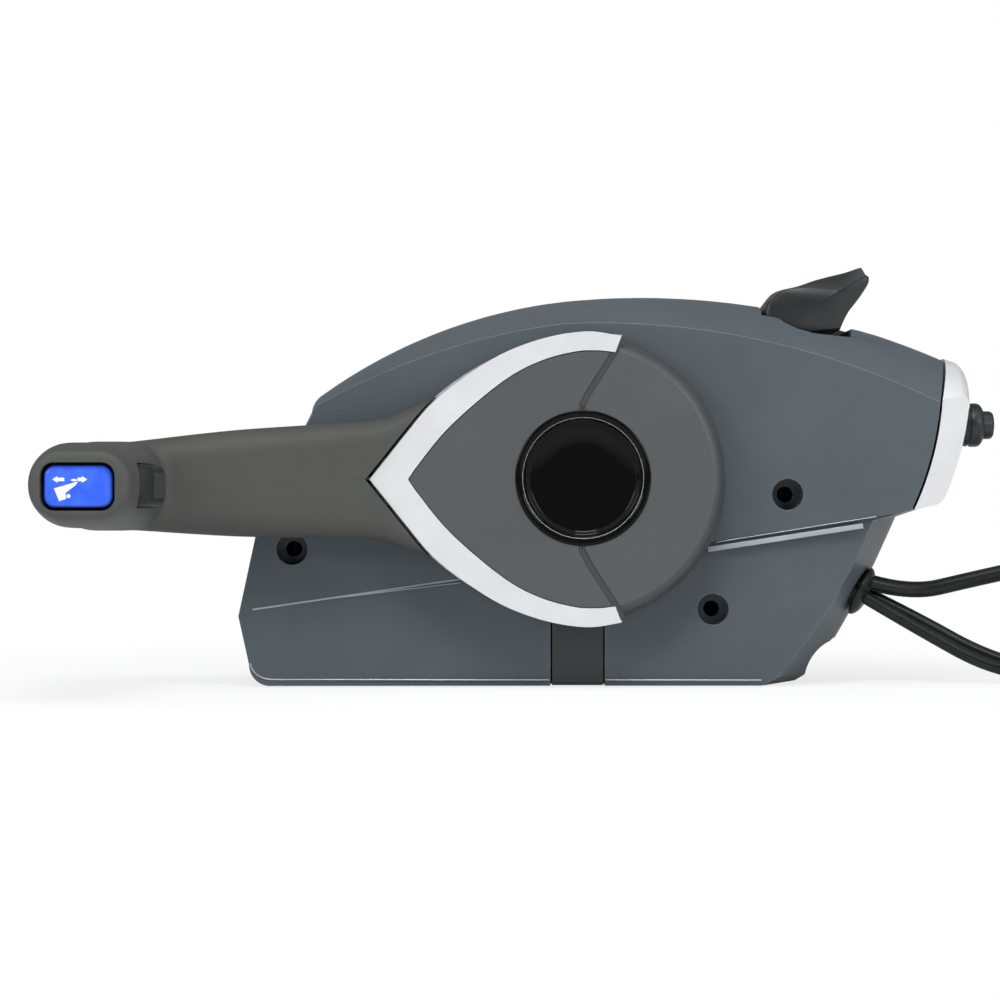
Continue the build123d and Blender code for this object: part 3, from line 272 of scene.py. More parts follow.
def make_finishes():
    """Every finish of the part, by its material slot."""
    return {
        # pale finish for bevels and beads: a painted highlight standing in for light caught on the creases
        "painted_edge_highlight": moulded("painted_edge_highlight", (0.30, 0.33, 0.35), (0.38, 0.41, 0.43), 0.25, coat=0.6),
        "housing_plastic": moulded(
            "housing_plastic", (0.074, 0.090, 0.101), (0.081, 0.098, 0.110), 0.42, specks=0.5, gloss=0.26
        ),
        "cover_plastic": moulded(
            "cover_plastic", (0.067, 0.071, 0.075), (0.073, 0.077, 0.081), 0.40, specks=0.6
        ),
        # dark grey laid in the hub covers' joint: painted shade
        "joint_painted_shade": moulded("joint_painted_shade", (0.036, 0.040, 0.044), (0.041, 0.045, 0.049), 0.5),
        "soft_touch": soft_touch(),
        "silver_trim": satin_silver(),
        "gloss_black": gloss_black(),
        "black_plastic": moulded("black_plastic", (0.018, 0.022, 0.023), (0.025, 0.030, 0.031), 0.42),
        "switch_black": moulded("switch_black", (0.009, 0.011, 0.0115), (0.013, 0.0155, 0.016), 0.36),
        # darker copy of the cover plastic: painted shade on the rear cover's side wall
        "rim_painted_shade": moulded("rim_painted_shade", (0.046, 0.050, 0.052), (0.052, 0.056, 0.058), 0.45),
        # black plastic made darker still for the lock trigger: painted shade of the grip's recess
        "trigger_black_painted_shade": moulded(
            "trigger_black_painted_shade", (0.012, 0.013, 0.012), (0.017, 0.018, 0.017), 0.6, gloss=0.3
        ),
        "blue_plastic": blue_plastic(),
        "white_print": print_white(),
        "cord_rubber": sheath(),
        "cast_alloy": metal("cast_alloy", (0.46, 0.47, 0.48), (0.58, 0.59, 0.60), 0.42, 160, 0.9),
        # near-black steel for the mounting sleeves: their darkness is painted shade of the deep bolt bores
        "dark_steel": metal("dark_steel", (0.014, 0.015, 0.016), (0.020, 0.021, 0.022), 0.55, 180, 0.3),
        "cap_bead": metal("cap_bead", (0.75, 0.75, 0.75), (0.90, 0.90, 0.90), 0.16, 110),
        "steel": metal("steel", (0.44, 0.45, 0.46), (0.60, 0.61, 0.62), 0.26, 110),
        "bronze": metal("bronze", (0.42, 0.27, 0.12), (0.58, 0.40, 0.20), 0.38, 240),
        "nylon": moulded("nylon", (0.60, 0.58, 0.52), (0.70, 0.68, 0.62), 0.45),
    }


FINISH = make_finishes()

# ---------------------------------------------------------------- mesh helpers
def mesh_object(name, bm, smooth=True):
    """Object from a bmesh, placed by its own vertices."""
    mesh = bpy.data.meshes.new(name)
    bm.to_mesh(mesh)
    bm.free()
    for polygon in mesh.polygons:
        polygon.use_smooth = smooth
    piece = bpy.data.objects.new(name, mesh)
    bpy.context.scene.collection.objects.link(piece)
    return piece


def bake(piece):
    """Replace the piece's mesh with what its modifiers make of it."""
    evaluated = piece.evaluated_get(bpy.context.evaluated_depsgraph_get())
    mesh = bpy.data.meshes.new_from_object(evaluated)
    piece.modifiers.clear()
    piece.data = mesh
    return piece


def dress(piece, body, slot, *nodes, material=None, worn=False):
    """Give the piece a finish, its body and the nodes it stands for; a piece with painted light on its edges
    or rim has its finishes already.
    """
    if not worn:
        if piece.type == "MESH":
            piece.data.polygons.foreach_set("material_index", [0] * len(piece.data.polygons))
        piece.data.materials.clear()
        piece.data.materials.append(FINISH[material or slot])
    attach(piece, body)
    if nodes:
        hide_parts(*nodes)
    return piece


def edges_by_angle(piece, degrees):
    """Shade smooth up to an angle between faces."""
    mesh = piece.data
    mesh.shade_smooth()
    bm = bmesh.new()
    bm.from_mesh(mesh)
    for edge in bm.edges:
        edge.smooth = len(edge.link_faces) == 2 and edge.calc_face_angle(0) < radians(degrees)
    bm.to_mesh(mesh)
    bm.free()


def copy_of(node, name, flat=0.6):
    """Merged copy of a CAD node's mesh, its flat faces joined up."""
    bm = bmesh.new()
    bm.from_mesh(NODES[node].data)
    bmesh.ops.remove_doubles(bm, verts=bm.verts, dist=0.000004)
    bmesh.ops.dissolve_limit(bm, angle_limit=radians(flat), verts=bm.verts, edges=bm.edges)
    return mesh_object(name, bm)


def finish_edges(piece, width, angle=20, segments=2, worn=False):
    """Round the piece's hard edges, painted pale as a highlight where asked, and keep the large faces' own
    shading.
    """
    bevel = piece.modifiers.new("bevel", "BEVEL")
    # the bevel faces take the pale finish: a painted highlight along the creases
    if worn:
        piece.data.materials.clear()
        piece.data.materials.append(FINISH["housing_plastic"])
        piece.data.materials.append(FINISH["painted_edge_highlight"])
        bevel.material = 1
    bevel.width, bevel.segments = width, segments
    bevel.limit_method, bevel.angle_limit = "ANGLE", radians(angle)
    bevel.use_clamp_overlap = True
    for polygon in piece.data.polygons:
        polygon.use_smooth = True
    weigh = piece.modifiers.new("weigh", "WEIGHTED_NORMAL")
    weigh.weight = 100
    weigh.keep_sharp = True
    return bake(piece)


def bevelled(node, name, width, body, slot, angle=20, segments=2, material=None):
    """A CAD node with its hard edges broken, as a mould or a die leaves them."""
    piece = copy_of(node, name)
    finish_edges(piece, width, angle, segments)
    return dress(piece, body, slot, node, material=material)


def loft(bm, rings):
    """Skin closed rings of equal count, with fanned ends."""
    rows = [[bm.verts.new(point) for point in ring] for ring in rings]
    count = len(rows[0])
    for a, b in zip(rows, rows[1:]):
        for i in range(count):
            bm.faces.new((a[i], a[(i + 1) % count], b[(i + 1) % count], b[i]))
    for row, flip in ((rows[0], True), (rows[-1], False)):
        middle = bm.verts.new(sum((v.co for v in row), Vector()) / count)
        for i in range(count):
            pair = (row[(i + 1) % count], row[i]) if flip else (row[i], row[(i + 1) % count])
            bm.faces.new((*pair, middle))
    bmesh.ops.recalc_face_normals(bm, faces=bm.faces)


def spun(bm, profile, origin, axis, segments=96):
    """Turn (radius, along) points about an axis; points on the axis close the shape."""
    axis = Vector(axis).normalized()
    side = axis.orthogonal().normalized()
    other = axis.cross(side)
    rows = []
    for radius, along in profile:
        centre = Vector(origin) + axis * along
        if radius < 1e-7:
            rows.append([bm.verts.new(centre)])
        else:
            turn = [2 * pi * i / segments for i in range(segments)]
            rows.append([bm.verts.new(centre + (side * cos(t) + other * sin(t)) * radius) for t in turn])
    closed = profile[0][0] > 1e-7 and profile[-1][0] > 1e-7
    pairs = list(zip(rows, rows[1:])) + ([(rows[-1], rows[0])] if closed else [])
    for a, b in pairs:
        for i in range(segments):
            j = (i + 1) % segments
            corners = [a[i % len(a)], a[j % len(a)], b[j % len(b)], b[i % len(b)]]
            corners = list(dict.fromkeys(corners))
            if len(corners) > 2:
                bm.faces.new(corners)
    bmesh.ops.recalc_face_normals(bm, faces=bm.faces)


def turned(name, profile, origin, axis, body, slot, *nodes, segments=96, material=None, angle=32):
    """A turned piece; profile is in millimetres."""
    bm = bmesh.new()
    spun(bm, [(r * MM, a * MM) for r, a in profile], origin, axis, segments)
    piece = mesh_object(name, bm)
    edges_by_angle(piece, angle)
    return dress(piece, body, slot, *nodes, material=material)


def through(table, x):
    """Smooth values of a station table at x."""
    last = len(table) - 2
    i = max(0, min(last, sum(1 for row in table[1:-1] if row[0] <= x)))
    a, b = table[i], table[i + 1]
    t = max(0.0, min(1.0, (x - a[0]) / (b[0] - a[0])))
    before, after = table[max(0, i - 1)], table[min(last + 1, i + 2)]
    span = b[0] - a[0]
    result = []
    for k in range(1, len(a)):
        m0 = (b[k] - before[k]) / max(b[0] - before[0], 1e-9) * span
        m1 = (after[k] - a[k]) / max(after[0] - a[0], 1e-9) * span
        h = 2 * t ** 3 - 3 * t ** 2 + 1, t ** 3 - 2 * t ** 2 + t, -2 * t ** 3 + 3 * t ** 2, t ** 3 - t ** 2
        result.append(h[0] * a[k] + h[1] * m0 + h[2] * b[k] + h[3] * m1)
    return result


def round_box(half_x, low, high, r_low, r_high, steps=8):
    """Ring of a rectangle whose upper and lower corners have their own radii."""
    ring = []
    for sx, y, r, start in (
        (1, low + r_low, r_low, -90), (1, high - r_high, r_high, 0),
        (-1, high - r_high, r_high, 90), (-1, low + r_low, r_low, 180),
    ):
        for k in range(steps + 1):
            t = radians(start + 90 * k / steps)
            ring.append((sx * (half_x - r) + r * cos(t), y + r * sin(t)))
    return ring


def rectangle(left, right, half):
    """Outline from left to right, as far below the line as above it."""
    return [(left, -half), (right, -half), (right, half), (left, half)]


def prism(points, low, high, to_world):
    """Closed prism of a flat outline between two heights."""
    bm = bmesh.new()
    rings = [[to_world(x, y, h) for x, y in points] for h in (low, high)]
    rows = [[bm.verts.new(p) for p in ring] for ring in rings]
    count = len(points)
    for i in range(count):
        j = (i + 1) % count
        bm.faces.new((rows[0][i], rows[0][j], rows[1][j], rows[1][i]))
    bm.faces.new(rows[0][::-1])
    bm.faces.new(rows[1])
    bmesh.ops.recalc_face_normals(bm, faces=bm.faces)
    return mesh_object("cutter", bm, False)


def combine(piece, operation, other):
    """Exact boolean of the piece with another, as a modifier."""
    step = piece.modifiers.new(operation.lower(), "BOOLEAN")
    step.operation, step.solver, step.object = operation, "EXACT", other


def cut(piece, *cutters):
    """Take the cutters away from the piece."""
    for cutter in cutters:
        combine(piece, "DIFFERENCE", cutter)
    bake(piece)
    for cutter in cutters:
        bpy.data.objects.remove(cutter)
    return piece


def repeat_tree(name, build):
    """Geometry Nodes tree that repeats one form over points; build adds the form."""
    tree = bpy.data.node_groups.new(name, "GeometryNodeTree")
    face = tree.interface
    face.new_socket("Geometry", in_out="INPUT", socket_type="NodeSocketGeometry")
    face.new_socket("Geometry", in_out="OUTPUT", socket_type="NodeSocketGeometry")
    for label, default in (("Width", 0.004), ("Height", 0.002), ("Recess", 0.001)):
        socket = face.new_socket(label, in_out="INPUT", socket_type="NodeSocketFloat")
        socket.default_value, socket.subtype = default, "DISTANCE"
    socket = face.new_socket("Finish", in_out="INPUT", socket_type="NodeSocketMaterial")
    group_in = tree.nodes.new("NodeGroupInput")
    group_out = tree.nodes.new("NodeGroupOutput")

    def add(kind, settings=None, **inputs):
        node = tree.nodes.new(kind)
        for key, value in (settings or {}).items():
            setattr(node, key, value)
        for key, value in inputs.items():
            key = key.replace("_", " ")
            if hasattr(value, "is_output"):
                tree.links.new(value, node.inputs[key])
            else:
                node.inputs[key].default_value = value
        return node

    form = build(add, tree, group_in)
    turn = add("GeometryNodeInputNamedAttribute", {"data_type": "FLOAT_VECTOR"}, Name="turn")
    spread = add("GeometryNodeInstanceOnPoints", Rotation=turn.outputs[0])
    tree.links.new(group_in.outputs["Geometry"], spread.inputs["Points"])
    tree.links.new(form, spread.inputs["Instance"])
    real = add("GeometryNodeRealizeInstances", Geometry=spread.outputs[0])
    finish = add("GeometryNodeSetMaterial", Geometry=real.outputs[0], Material=group_in.outputs["Finish"])
    tree.links.new(finish.outputs[0], group_out.inputs[0])
    return tree


def repeated(name, tree, points, turn, body, slot, width, height, recess, *nodes):
    """One plain mesh of the tree's form at every point."""
    bm = bmesh.new()
    for point in points:
        bm.verts.new(point)
    piece = mesh_object(name, bm)
    attribute = piece.data.attributes.new("turn", "FLOAT_VECTOR", "POINT")
    for item in attribute.data:
        item.vector = turn
    modifier = piece.modifiers.new("repeat", "NODES")
    modifier.node_group = tree
    values = {"Width": width, "Height": height, "Recess": recess, "Finish": FINISH[slot]}
    for item in tree.interface.items_tree:
        if item.in_out == "INPUT" and item.name in values:
            modifier[item.identifier] = values[item.name]
    bake(piece)
    edges_by_angle(piece, 30)
    return dress(piece, body, slot, *nodes)


HEAD_ROUND, ARM_SHARE, ARM_RISE = 0.5, 0.62, 0.55    # shares of the head's width, width and height


def screw_form(add, tree, group_in):
    """Pan head with a cross recess."""
    def share(name, part):
        step = add("ShaderNodeMath", {"operation": "MULTIPLY"})
        step.inputs[1].default_value = part
        tree.links.new(group_in.outputs[name], step.inputs[0])
        return step.outputs[0]

    head = add("GeometryNodeMeshCylinder", Vertices=28)
    tree.links.new(share("Width", HEAD_ROUND), head.inputs["Radius"])
    tree.links.new(group_in.outputs["Height"], head.inputs["Depth"])
    arm, rise = share("Width", ARM_SHARE), add("ShaderNodeCombineXYZ")
    tree.links.new(share("Height", ARM_RISE), rise.inputs[2])
    cross = add("GeometryNodeMeshBoolean", {"operation": "DIFFERENCE"})
    tree.links.new(head.outputs[0], cross.inputs["Mesh 1"])
    for n in range(2):
        size, bar = add("ShaderNodeCombineXYZ"), add("GeometryNodeMeshCube")
        tree.links.new(arm, size.inputs[n])
        tree.links.new(group_in.outputs["Recess"], size.inputs[1 - n])
        tree.links.new(group_in.outputs["Height"], size.inputs[2])
        tree.links.new(size.outputs[0], bar.inputs["Size"])
        move = add("GeometryNodeTransform")
        tree.links.new(bar.outputs[0], move.inputs["Geometry"])
        tree.links.new(rise.outputs[0], move.inputs["Translation"])
        tree.links.new(move.outputs[0], cross.inputs["Mesh 2"])
    return cross.outputs[0]


def rib_form(add, tree, group_in):
    """Low half-round rib."""
    bar = add("GeometryNodeMeshCylinder", Vertices=12)
    tree.links.new(group_in.outputs["Recess"], bar.inputs["Radius"])
    tree.links.new(group_in.outputs["Width"], bar.inputs["Depth"])
    return bar.outputs[0]


# ---------------------------------------------------------------- settings
class ControlBoxSettings(bpy.types.PropertyGroup):
    """Sizes a user would change."""

    mould_edge: bpy.props.FloatProperty(
        name="Mould edge", description="Radius on the housing's creases", default=0.0006, min=0, unit="LENGTH"
    )
    trim_edge: bpy.props.FloatProperty(
        name="Trim edge", description="Radius on the trim's edges", default=0.00045, min=0, unit="LENGTH"
    )
    grip_softness: bpy.props.IntProperty(
        name="Grip softness", description="Smoothing passes where the grip meets the arm", default=26, min=0
    )
    skin_size: bpy.props.FloatProperty(
        name="Skin size", description="Facet size of the moulded lever", default=0.0011, min=0.0005,
        unit="LENGTH",
    )
    harness_length: bpy.props.FloatProperty(
        name="Harness length", description="Main harness, grommet to plug", default=0.545, min=0.1,
        unit="LENGTH",
    )
    lead_length: bpy.props.FloatProperty(
        name="Lead length", description="Each thin lead, grommet to plug", default=0.385, min=0.1,
        unit="LENGTH",
    )
    backdrop: bpy.props.FloatVectorProperty(
        name="Backdrop", description="Colour of the floor and backdrop", default=(0.93, 0.93, 0.93),
        subtype="COLOR", size=3,
    )


# ---------------------------------------------------------------- cords: routes in metres, grommet to coil
CORDS = {
    "harness": {
        "diameter": 0.0066, "side": 1, "plug": (0.012, 0.046),
        "route": [
            (0.13457, 0.0588, 0.04136), (0.15305, 0.061, 0.0356), (0.17905, 0.063, 0.0416),
            (0.21505, 0.0655, 0.0494), (0.24905, 0.069, 0.020), (0.28405, 0.073, 0.0033),
            (0.31005, 0.0755, 0.0033),
        ],
    },
    "sensor_lead": {
        "diameter": 0.005, "side": 1, "plug": (0.0065, 0.027),
        "route": [
            (0.13276, 0.0634, 0.03779), (0.15605, 0.0645, 0.0264), (0.18605, 0.066, 0.0096),
            (0.21605, 0.068, 0.0025), (0.24005, 0.070, 0.0025),
        ],
    },
    "power_lead": {
        "diameter": 0.005, "side": -1, "plug": (0.0065, 0.027),
        "route": [
            (0.13186, 0.0571, 0.03601), (0.15605, 0.0562, 0.0216), (0.18605, 0.0546, 0.0049),
            (0.21205, 0.0525, 0.0025), (0.23805, 0.050, 0.0025),
        ],
    },
}
COIL_RATIO = 11.0                              # coil's middle diameter in cord diameters
COIL_TURNS = 1.5
COIL_POINTS = 16                               # per turn
TIE_WIDTH = 0.0042
RIBS = repeat_tree("rib", rib_form)
SCREWS = repeat_tree("screw", screw_form)


def coil_of(cord):
    """Heading of the route's end, coil centre and coil radius."""
    a, b = (Vector(p) for p in cord["route"][-2:])
    heading = (b - a).normalized()
    across = Vector((-heading.y, heading.x, 0)) * cord["side"]
    radius = COIL_RATIO * cord["diameter"] / 2
    return heading, across, b + across * radius, radius


def cord_points(cord):
    """The route and then the coil, as control points; the upper turn lies on the lower."""
    heading, across, centre, radius = coil_of(cord)
    d = cord["diameter"]
    points = [Vector(p) for p in cord["route"]]
    count = int(COIL_POINTS * COIL_TURNS)
    spare = max(0.0, cord["plug"][0] - 1.5 * d)
    for i in range(1, count + 2):
        step = min(i - 0.5, count)
        reach = radius if i > count else radius / cos(pi / COIL_POINTS)
        turn = 2 * pi * step / COIL_POINTS
        rise = (step - COIL_POINTS * 0.4) / (COIL_POINTS * 0.55)
        lift = d * max(0.0, min(1.0, rise)) + spare * max(0.0, min(1.0, (step - count + 4) / 3.5))
        flat = centre + heading * sin(turn) * reach - across * cos(turn) * reach
        points.append(flat + Vector((0, 0, lift)))
    return points


def make_cord(name, length):
    """One cord with its coil, strain relief, plug, pins and tie."""
    cord = CORDS[name]
    d = cord["diameter"]
    heading, across, centre, radius = coil_of(cord)
    points = cord_points(cord)
    curve = bpy.data.curves.new(name, "CURVE")
    curve.dimensions = "3D"
    curve.bevel_depth = d / 2
    curve.bevel_resolution = 6
    curve.resolution_u = curve.render_resolution_u = 10
    curve.use_fill_caps = True
    spline = curve.splines.new("NURBS")
    spline.points.add(len(points) - 1)
    for place, point in zip(spline.points, points):
        place.co = (*point, 1)
    spline.order_u = 3
    spline.use_endpoint_u = True
    line = bpy.data.objects.new(name, curve)
    bpy.context.scene.collection.objects.link(line)
    dress(line, "housing", "cord_rubber", f"{name}_cord", f"{name}_coil")

    end = points[-1]
    plug_r, plug_long = (size / MM for size in cord["plug"])
    far_side = centre + across * radius - heading * (4 + plug_long) * MM
    away = (Vector((far_side.x, far_side.y, plug_r * MM)) - end).normalized()
    r = d / 2 / MM
    boot = [
        (0, -1), (r + 0.02, -1), (r + 0.5, -0.6), (r + 0.55, 1.2), (r + 0.2, 1.6), (r + 0.2, 2.4),
        (r + 0.8, 2.8), (r + 0.85, 4.6), (r + 0.4, 5.0), (r + 0.4, 5.8), (r + 1.1, 6.2), (r + 1.3, 9),
        (plug_r * 0.8, 11.5), (plug_r * 0.8, 13), (0, 13),
    ]
    socket = 4 + plug_long * 0.7
    shell = [
        (0, 12.4), (plug_r * 0.9, 12.4), (plug_r, 13.2), (plug_r, 17), (plug_r * 0.93, 17.5),
        (plug_r * 0.93, 19.5), (plug_r, 20), (plug_r, 3.4 + plug_long), (plug_r - 0.6, 4 + plug_long),
        (plug_r * 0.80, 4 + plug_long), (plug_r * 0.80, socket), (0, socket),
    ]
    extras = [
        turned(f"{name}_boot", boot, end, away, "housing", "cord_rubber", segments=40),
        turned(
            f"{name}_shell", shell, end, away, "housing", "black_plastic", f"{name}_plug",
            segments=48, angle=25,
        ),
    ]
    up = Vector((0, 0, 1))
    side = away.cross(up).normalized()
    face = end + away * (socket + plug_long * 0.1) * MM
    pins = [face]
    rings = (5, 10) if name == "harness" else (3,)
    for ring, count in enumerate(rings, 1):
        for k in range(count):
            t = 2 * pi * k / count
            spread = plug_r * MM * (0.27 if name == "harness" else 0.42) * ring
            pins.append(face + (side * cos(t) + up * sin(t)) * spread)
    tilt = tuple(away.to_track_quat("Z", "Y").to_euler())
    extras.append(
        repeated(f"{name}_pins", RIBS, pins, tilt, "housing", "steel", plug_long * 0.2 * MM, 0.001, 0.0005)
    )
    # tie round both turns
    beside = centre + heading * radius
    outer = round_box(d / 2 + 0.0009, -0.0001, 2 * d + 0.0009, d * 0.48, d * 0.48)
    inner = round_box(d / 2 + 0.0001, 0.0001, 2 * d + 0.0001, d * 0.45, d * 0.45)
    tie = bmesh.new()
    rows = []
    for shape, offset in ((outer, -TIE_WIDTH / 2), (outer, TIE_WIDTH / 2), (inner, TIE_WIDTH / 2),
                          (inner, -TIE_WIDTH / 2)):
        rows.append([tie.verts.new(beside + heading * x + across * offset + up * z) for x, z in shape])
    for a, b in zip(rows, rows[1:] + rows[:1]):
        for i in range(len(a)):
            j = (i + 1) % len(a)
            tie.faces.new((a[i], a[j], b[j], b[i]))
    bmesh.ops.recalc_face_normals(tie, faces=tie.faces)
    band = mesh_object(f"{name}_tie", tie)
    edges_by_angle(band, 40)
    extras.append(dress(band, "housing", "black_plastic"))
    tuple(cord["route"][0])
    return line


# ---------------------------------------------------------------- lever: one moulding over the metal bar
# reach from the pivot, half height, front above the face, upper corner radius
ARM = [
    (44, 38.0, 22.2, 6.0), (54, 34.2, 22.4, 6.0), (61, 30.6, 22.8, 6.5), (66, 28.6, 23.1, 7.0),
    (72, 26.3, 23.4, 7.5), (79.5, 23.8, 23.9, 8.0), (92, 22.9, 24.4, 8.5), (109.5, 22.2, 25.2, 9.0),
    (134.5, 21.1, 27.4, 9.5), (152, 19.7, 30.0, 9.5), (170, 18.0, 32.5, 9.0), (186, 16.5, 33.5, 9.0),
]
# height above the face, middle, half length, half height, roundness
GRIP = [
    (3.2, 183.4, 18.4, 15.0, 0.80), (5.2, 183.4, 19.8, 16.4, 0.82), (18, 183.8, 20.5, 17.2, 0.84),
    (34, 183.8, 20.8, 17.3, 0.86), (52, 183.9, 20.3, 16.5, 0.88), (80, 184.0, 19.9, 15.9, 0.9),
    (100, 183.4, 19.6, 15.6, 0.9), (110, 182.8, 19.3, 15.2, 0.9), (118, 182.3, 18.9, 14.4, 0.9),
    (124, 182.0, 18.6, 13.5, 0.92), (127.2, 181.8, 18.4, 12.7, 0.94), (128.8, 181.8, 17.9, 12.2, 0.94),
    (129.8, 181.8, 16.9, 11.2, 0.94), (130.1, 181.8, 15.9, 10.2, 0.94),
]
# upper half of the silver trim, outer and inner edge: aft and up from the pivot
WING_OUT = [
    (-83.9, 0.0), (-76.9, 8.7), (-69.7, 17.7), (-60.0, 29.2), (-48.6, 38.6), (-34.5, 47.8), (-22.0, 53.3),
    (-9.5, 56.7), (3.1, 58.0), (15.1, 56.2),
]
WING_IN = [
    (-68.7, 0.0), (-64.8, 5.6), (-54.5, 18.4), (-42.0, 30.1), (-28.3, 40.6), (-15.8, 46.8), (-3.3, 50.1),
    (5.2, 50.6), (12.7, 49.9),
]
TRIM_DROP = 0.5                                # the trim's middle line is this much lower than the pivot
WING_GAP = 1.2                                 # between the trim and the lever's moulding
ROCKER_FACE = 128.2                            # rocker's face above the housing's
ARM_STEPS, GRIP_STEPS = 48, 100                # rings along the arm and the grip
ABOVE_ALL = 45                                 # height that clears the arm's top
# middle and half size of the region where the grip flows into the arm: reach, height
BLEND_AT, BLEND_HALF = (166, 35), (16, 20)
ROD_HALF, ROD_TOP = 2.6, 14.4                  # channel of the lock rod
COVER_TOP = 21.8                               # hub covers above the face
COVER_SEAT = 9.2                               # their seat on the hub plate
# joint of the covers, upper half
SEAM = [(0.4, 20), (-0.4, 28.4), (2.5, 34.0), (12.1, 48.9), (19.5, 63.0)]
REAR_R = 56.8                                  # rear cover's radius at its foot


def drop(reach):
    """How far the lever's middle line has come down at this reach."""
    start = ARM_START / MM
    return LEVER_DROP / MM * max(0.0, reach - start) / (LEVER_REACH / MM - start)


def curve_through(points, steps=10):
    """Smooth line through the points; a point given twice is a corner."""
    out = []
    last = len(points) - 1
    for i in range(last):
        a, b = Vector(points[i]), Vector(points[i + 1])
        before = Vector(points[i - 1]) if i else a * 2 - b
        after = Vector(points[i + 2]) if i + 2 <= last else b * 2 - a
        for k in range(steps):
            t = k / steps
            out.append(tuple(
                a * (2 * t ** 3 - 3 * t ** 2 + 1) + (b - before) * 0.5 * (t ** 3 - 2 * t ** 2 + t)
                + b * (3 * t ** 2 - 2 * t ** 3) + (after - a) * 0.5 * (t ** 3 - t ** 2)
            ))
    return out + [tuple(points[-1])]


def offset_line(points, distance):
    """Open line moved to its left, mitred at its corners."""
    out = []
    for i, here in enumerate(points):
        before = Vector(here) - Vector(points[i - 1]) if i else None
        after = Vector(points[i + 1]) - Vector(here) if i + 1 < len(points) else None
        runs = [d for d in (before, after) if d is not None and d.length > 1e-9]
        sides = [Vector((-d.y, d.x)).normalized() for d in runs]
        side = sum(sides, Vector((0, 0))).normalized()
        reach = distance / max(0.5, side.dot(sides[0]))
        out.append((here[0] + side.x * reach, here[1] + side.y * reach))
    return out


def trim_line(table, grow=0.0):
    """One edge of the silver trim from the lower wing's end round the tip to the upper wing's end."""
    upper = curve_through(table)
    line = [(x, -z) for x, z in reversed(upper[1:])] + upper
    return [(x, z - TRIM_DROP) for x, z in offset_line(line, grow)]


def swept(path, profile, name="strip"):
    """Bar whose (left, front) profile in millimetres follows a line on the face."""
    lines = [offset_line(path, left) for left, _ in profile]
    bm = bmesh.new()
    count = len(profile)
    rows = [[bm.verts.new(at(*lines[k][i], profile[k][1])) for k in range(count)] for i in range(len(path))]
    for a, b in zip(rows, rows[1:]):
        for k in range(count):
            bm.faces.new((a[k], a[(k + 1) % count], b[(k + 1) % count], b[k]))
    bm.faces.new(rows[0][::-1])
    bm.faces.new(rows[-1])
    bmesh.ops.recalc_face_normals(bm, faces=bm.faces)
    return mesh_object(name, bm, False)


def make_lever_body(tune):
    """Arm and grip skinned as one soft-touch moulding, with the trim's outline and the pockets cut in."""
    arm = bmesh.new()
    rings = []
    for i in range(ARM_STEPS + 1):
        reach = ARM[0][0] + (ARM[-1][0] - ARM[0][0]) * i / ARM_STEPS
        half, front, corner = through(ARM, reach)
        ring = round_box(half, HUB_BACK / MM, front, 2.4, corner)
        rings.append([at(-reach, -x - drop(reach), f) for x, f in ring])
    loft(arm, rings)
    body = mesh_object("lever_skin", arm)
    grip = bmesh.new()
    rings = []
    for i in range(GRIP_STEPS + 1):
        t = i / GRIP_STEPS
        height = GRIP[0][0] + (GRIP[-1][0] - GRIP[0][0]) * (t if t < 0.9 else 1 - (1 - t) ** 2 * 10)
        middle, long_half, tall_half, round_ = through(GRIP, height)
        corner = tall_half * round_
        ring = round_box(long_half, -tall_half, tall_half, corner, corner)
        rings.append([at(-middle - x, -y - LEVER_DROP / MM, height) for x, y in ring])
    loft(grip, rings)
    post = mesh_object("grip", grip)
    combine(body, "UNION", post)
    skin = body.modifiers.new("skin", "REMESH")
    skin.mode = "VOXEL"
    skin.voxel_size = tune.skin_size
    bake(body)
    bpy.data.objects.remove(post)
    blend = body.vertex_groups.new(name="blend")
    for vertex in body.data.vertices:
        place = (PIVOT.x - vertex.co.x) / MM, (FACE_Y - vertex.co.y) / MM
        near = 1.0
        for here, middle, half in zip(place, BLEND_AT, BLEND_HALF):
            near *= max(0.0, 1 - abs(here - middle) / half)
        if near > 0:
            blend.add([vertex.index], min(1.0, near * 1.6), "REPLACE")
    soften = body.modifiers.new("soften", "SMOOTH")
    soften.factor = 0.5
    soften.iterations = tune.grip_softness
    soften.vertex_group = "blend"
    even = body.modifiers.new("even", "SMOOTH")
    even.factor = 0.5
    even.iterations = 5
    bake(body)

    def flat(x, y, h):
        return at(-x, -y, h)

    def across(y, f, reach):
        return at(-reach, -y - LEVER_DROP / MM, f)

    opening = [(GRIP_X + x, y + ROCKER_DROP) for x, y in round_box(13.3, -8.6, 8.6, 4.8, 4.8)]
    cutters = [
        prism(trim_line(WING_OUT, WING_GAP), HUB_BACK / MM - 2, ABOVE_ALL, at),
        prism(rectangle(-48, 50, 70), HUB_BACK / MM - 2, ABOVE_ALL, at),
        prism(rectangle(60, 178.4, 10.6), 1, 9.2, flat),
        prism(rectangle(73, 181, ROD_HALF), 8, 14.6, flat),
        prism(opening, 104, 140, flat),
        prism([(x, y + 72) for x, y in round_box(8.3, -29.6, 29.6, 7.4, 7.4)], 150, 181, across),
        prism([(169, -3.3), (193, -3.3), (193, 9.7), (169, 9.7)], 8, 97, flat),
    ]
    cut(body, *cutters)
    edges_by_angle(body, 34)
    body.name = "lever_moulding"
    return dress(body, "lever", "soft_touch", "lever_body")


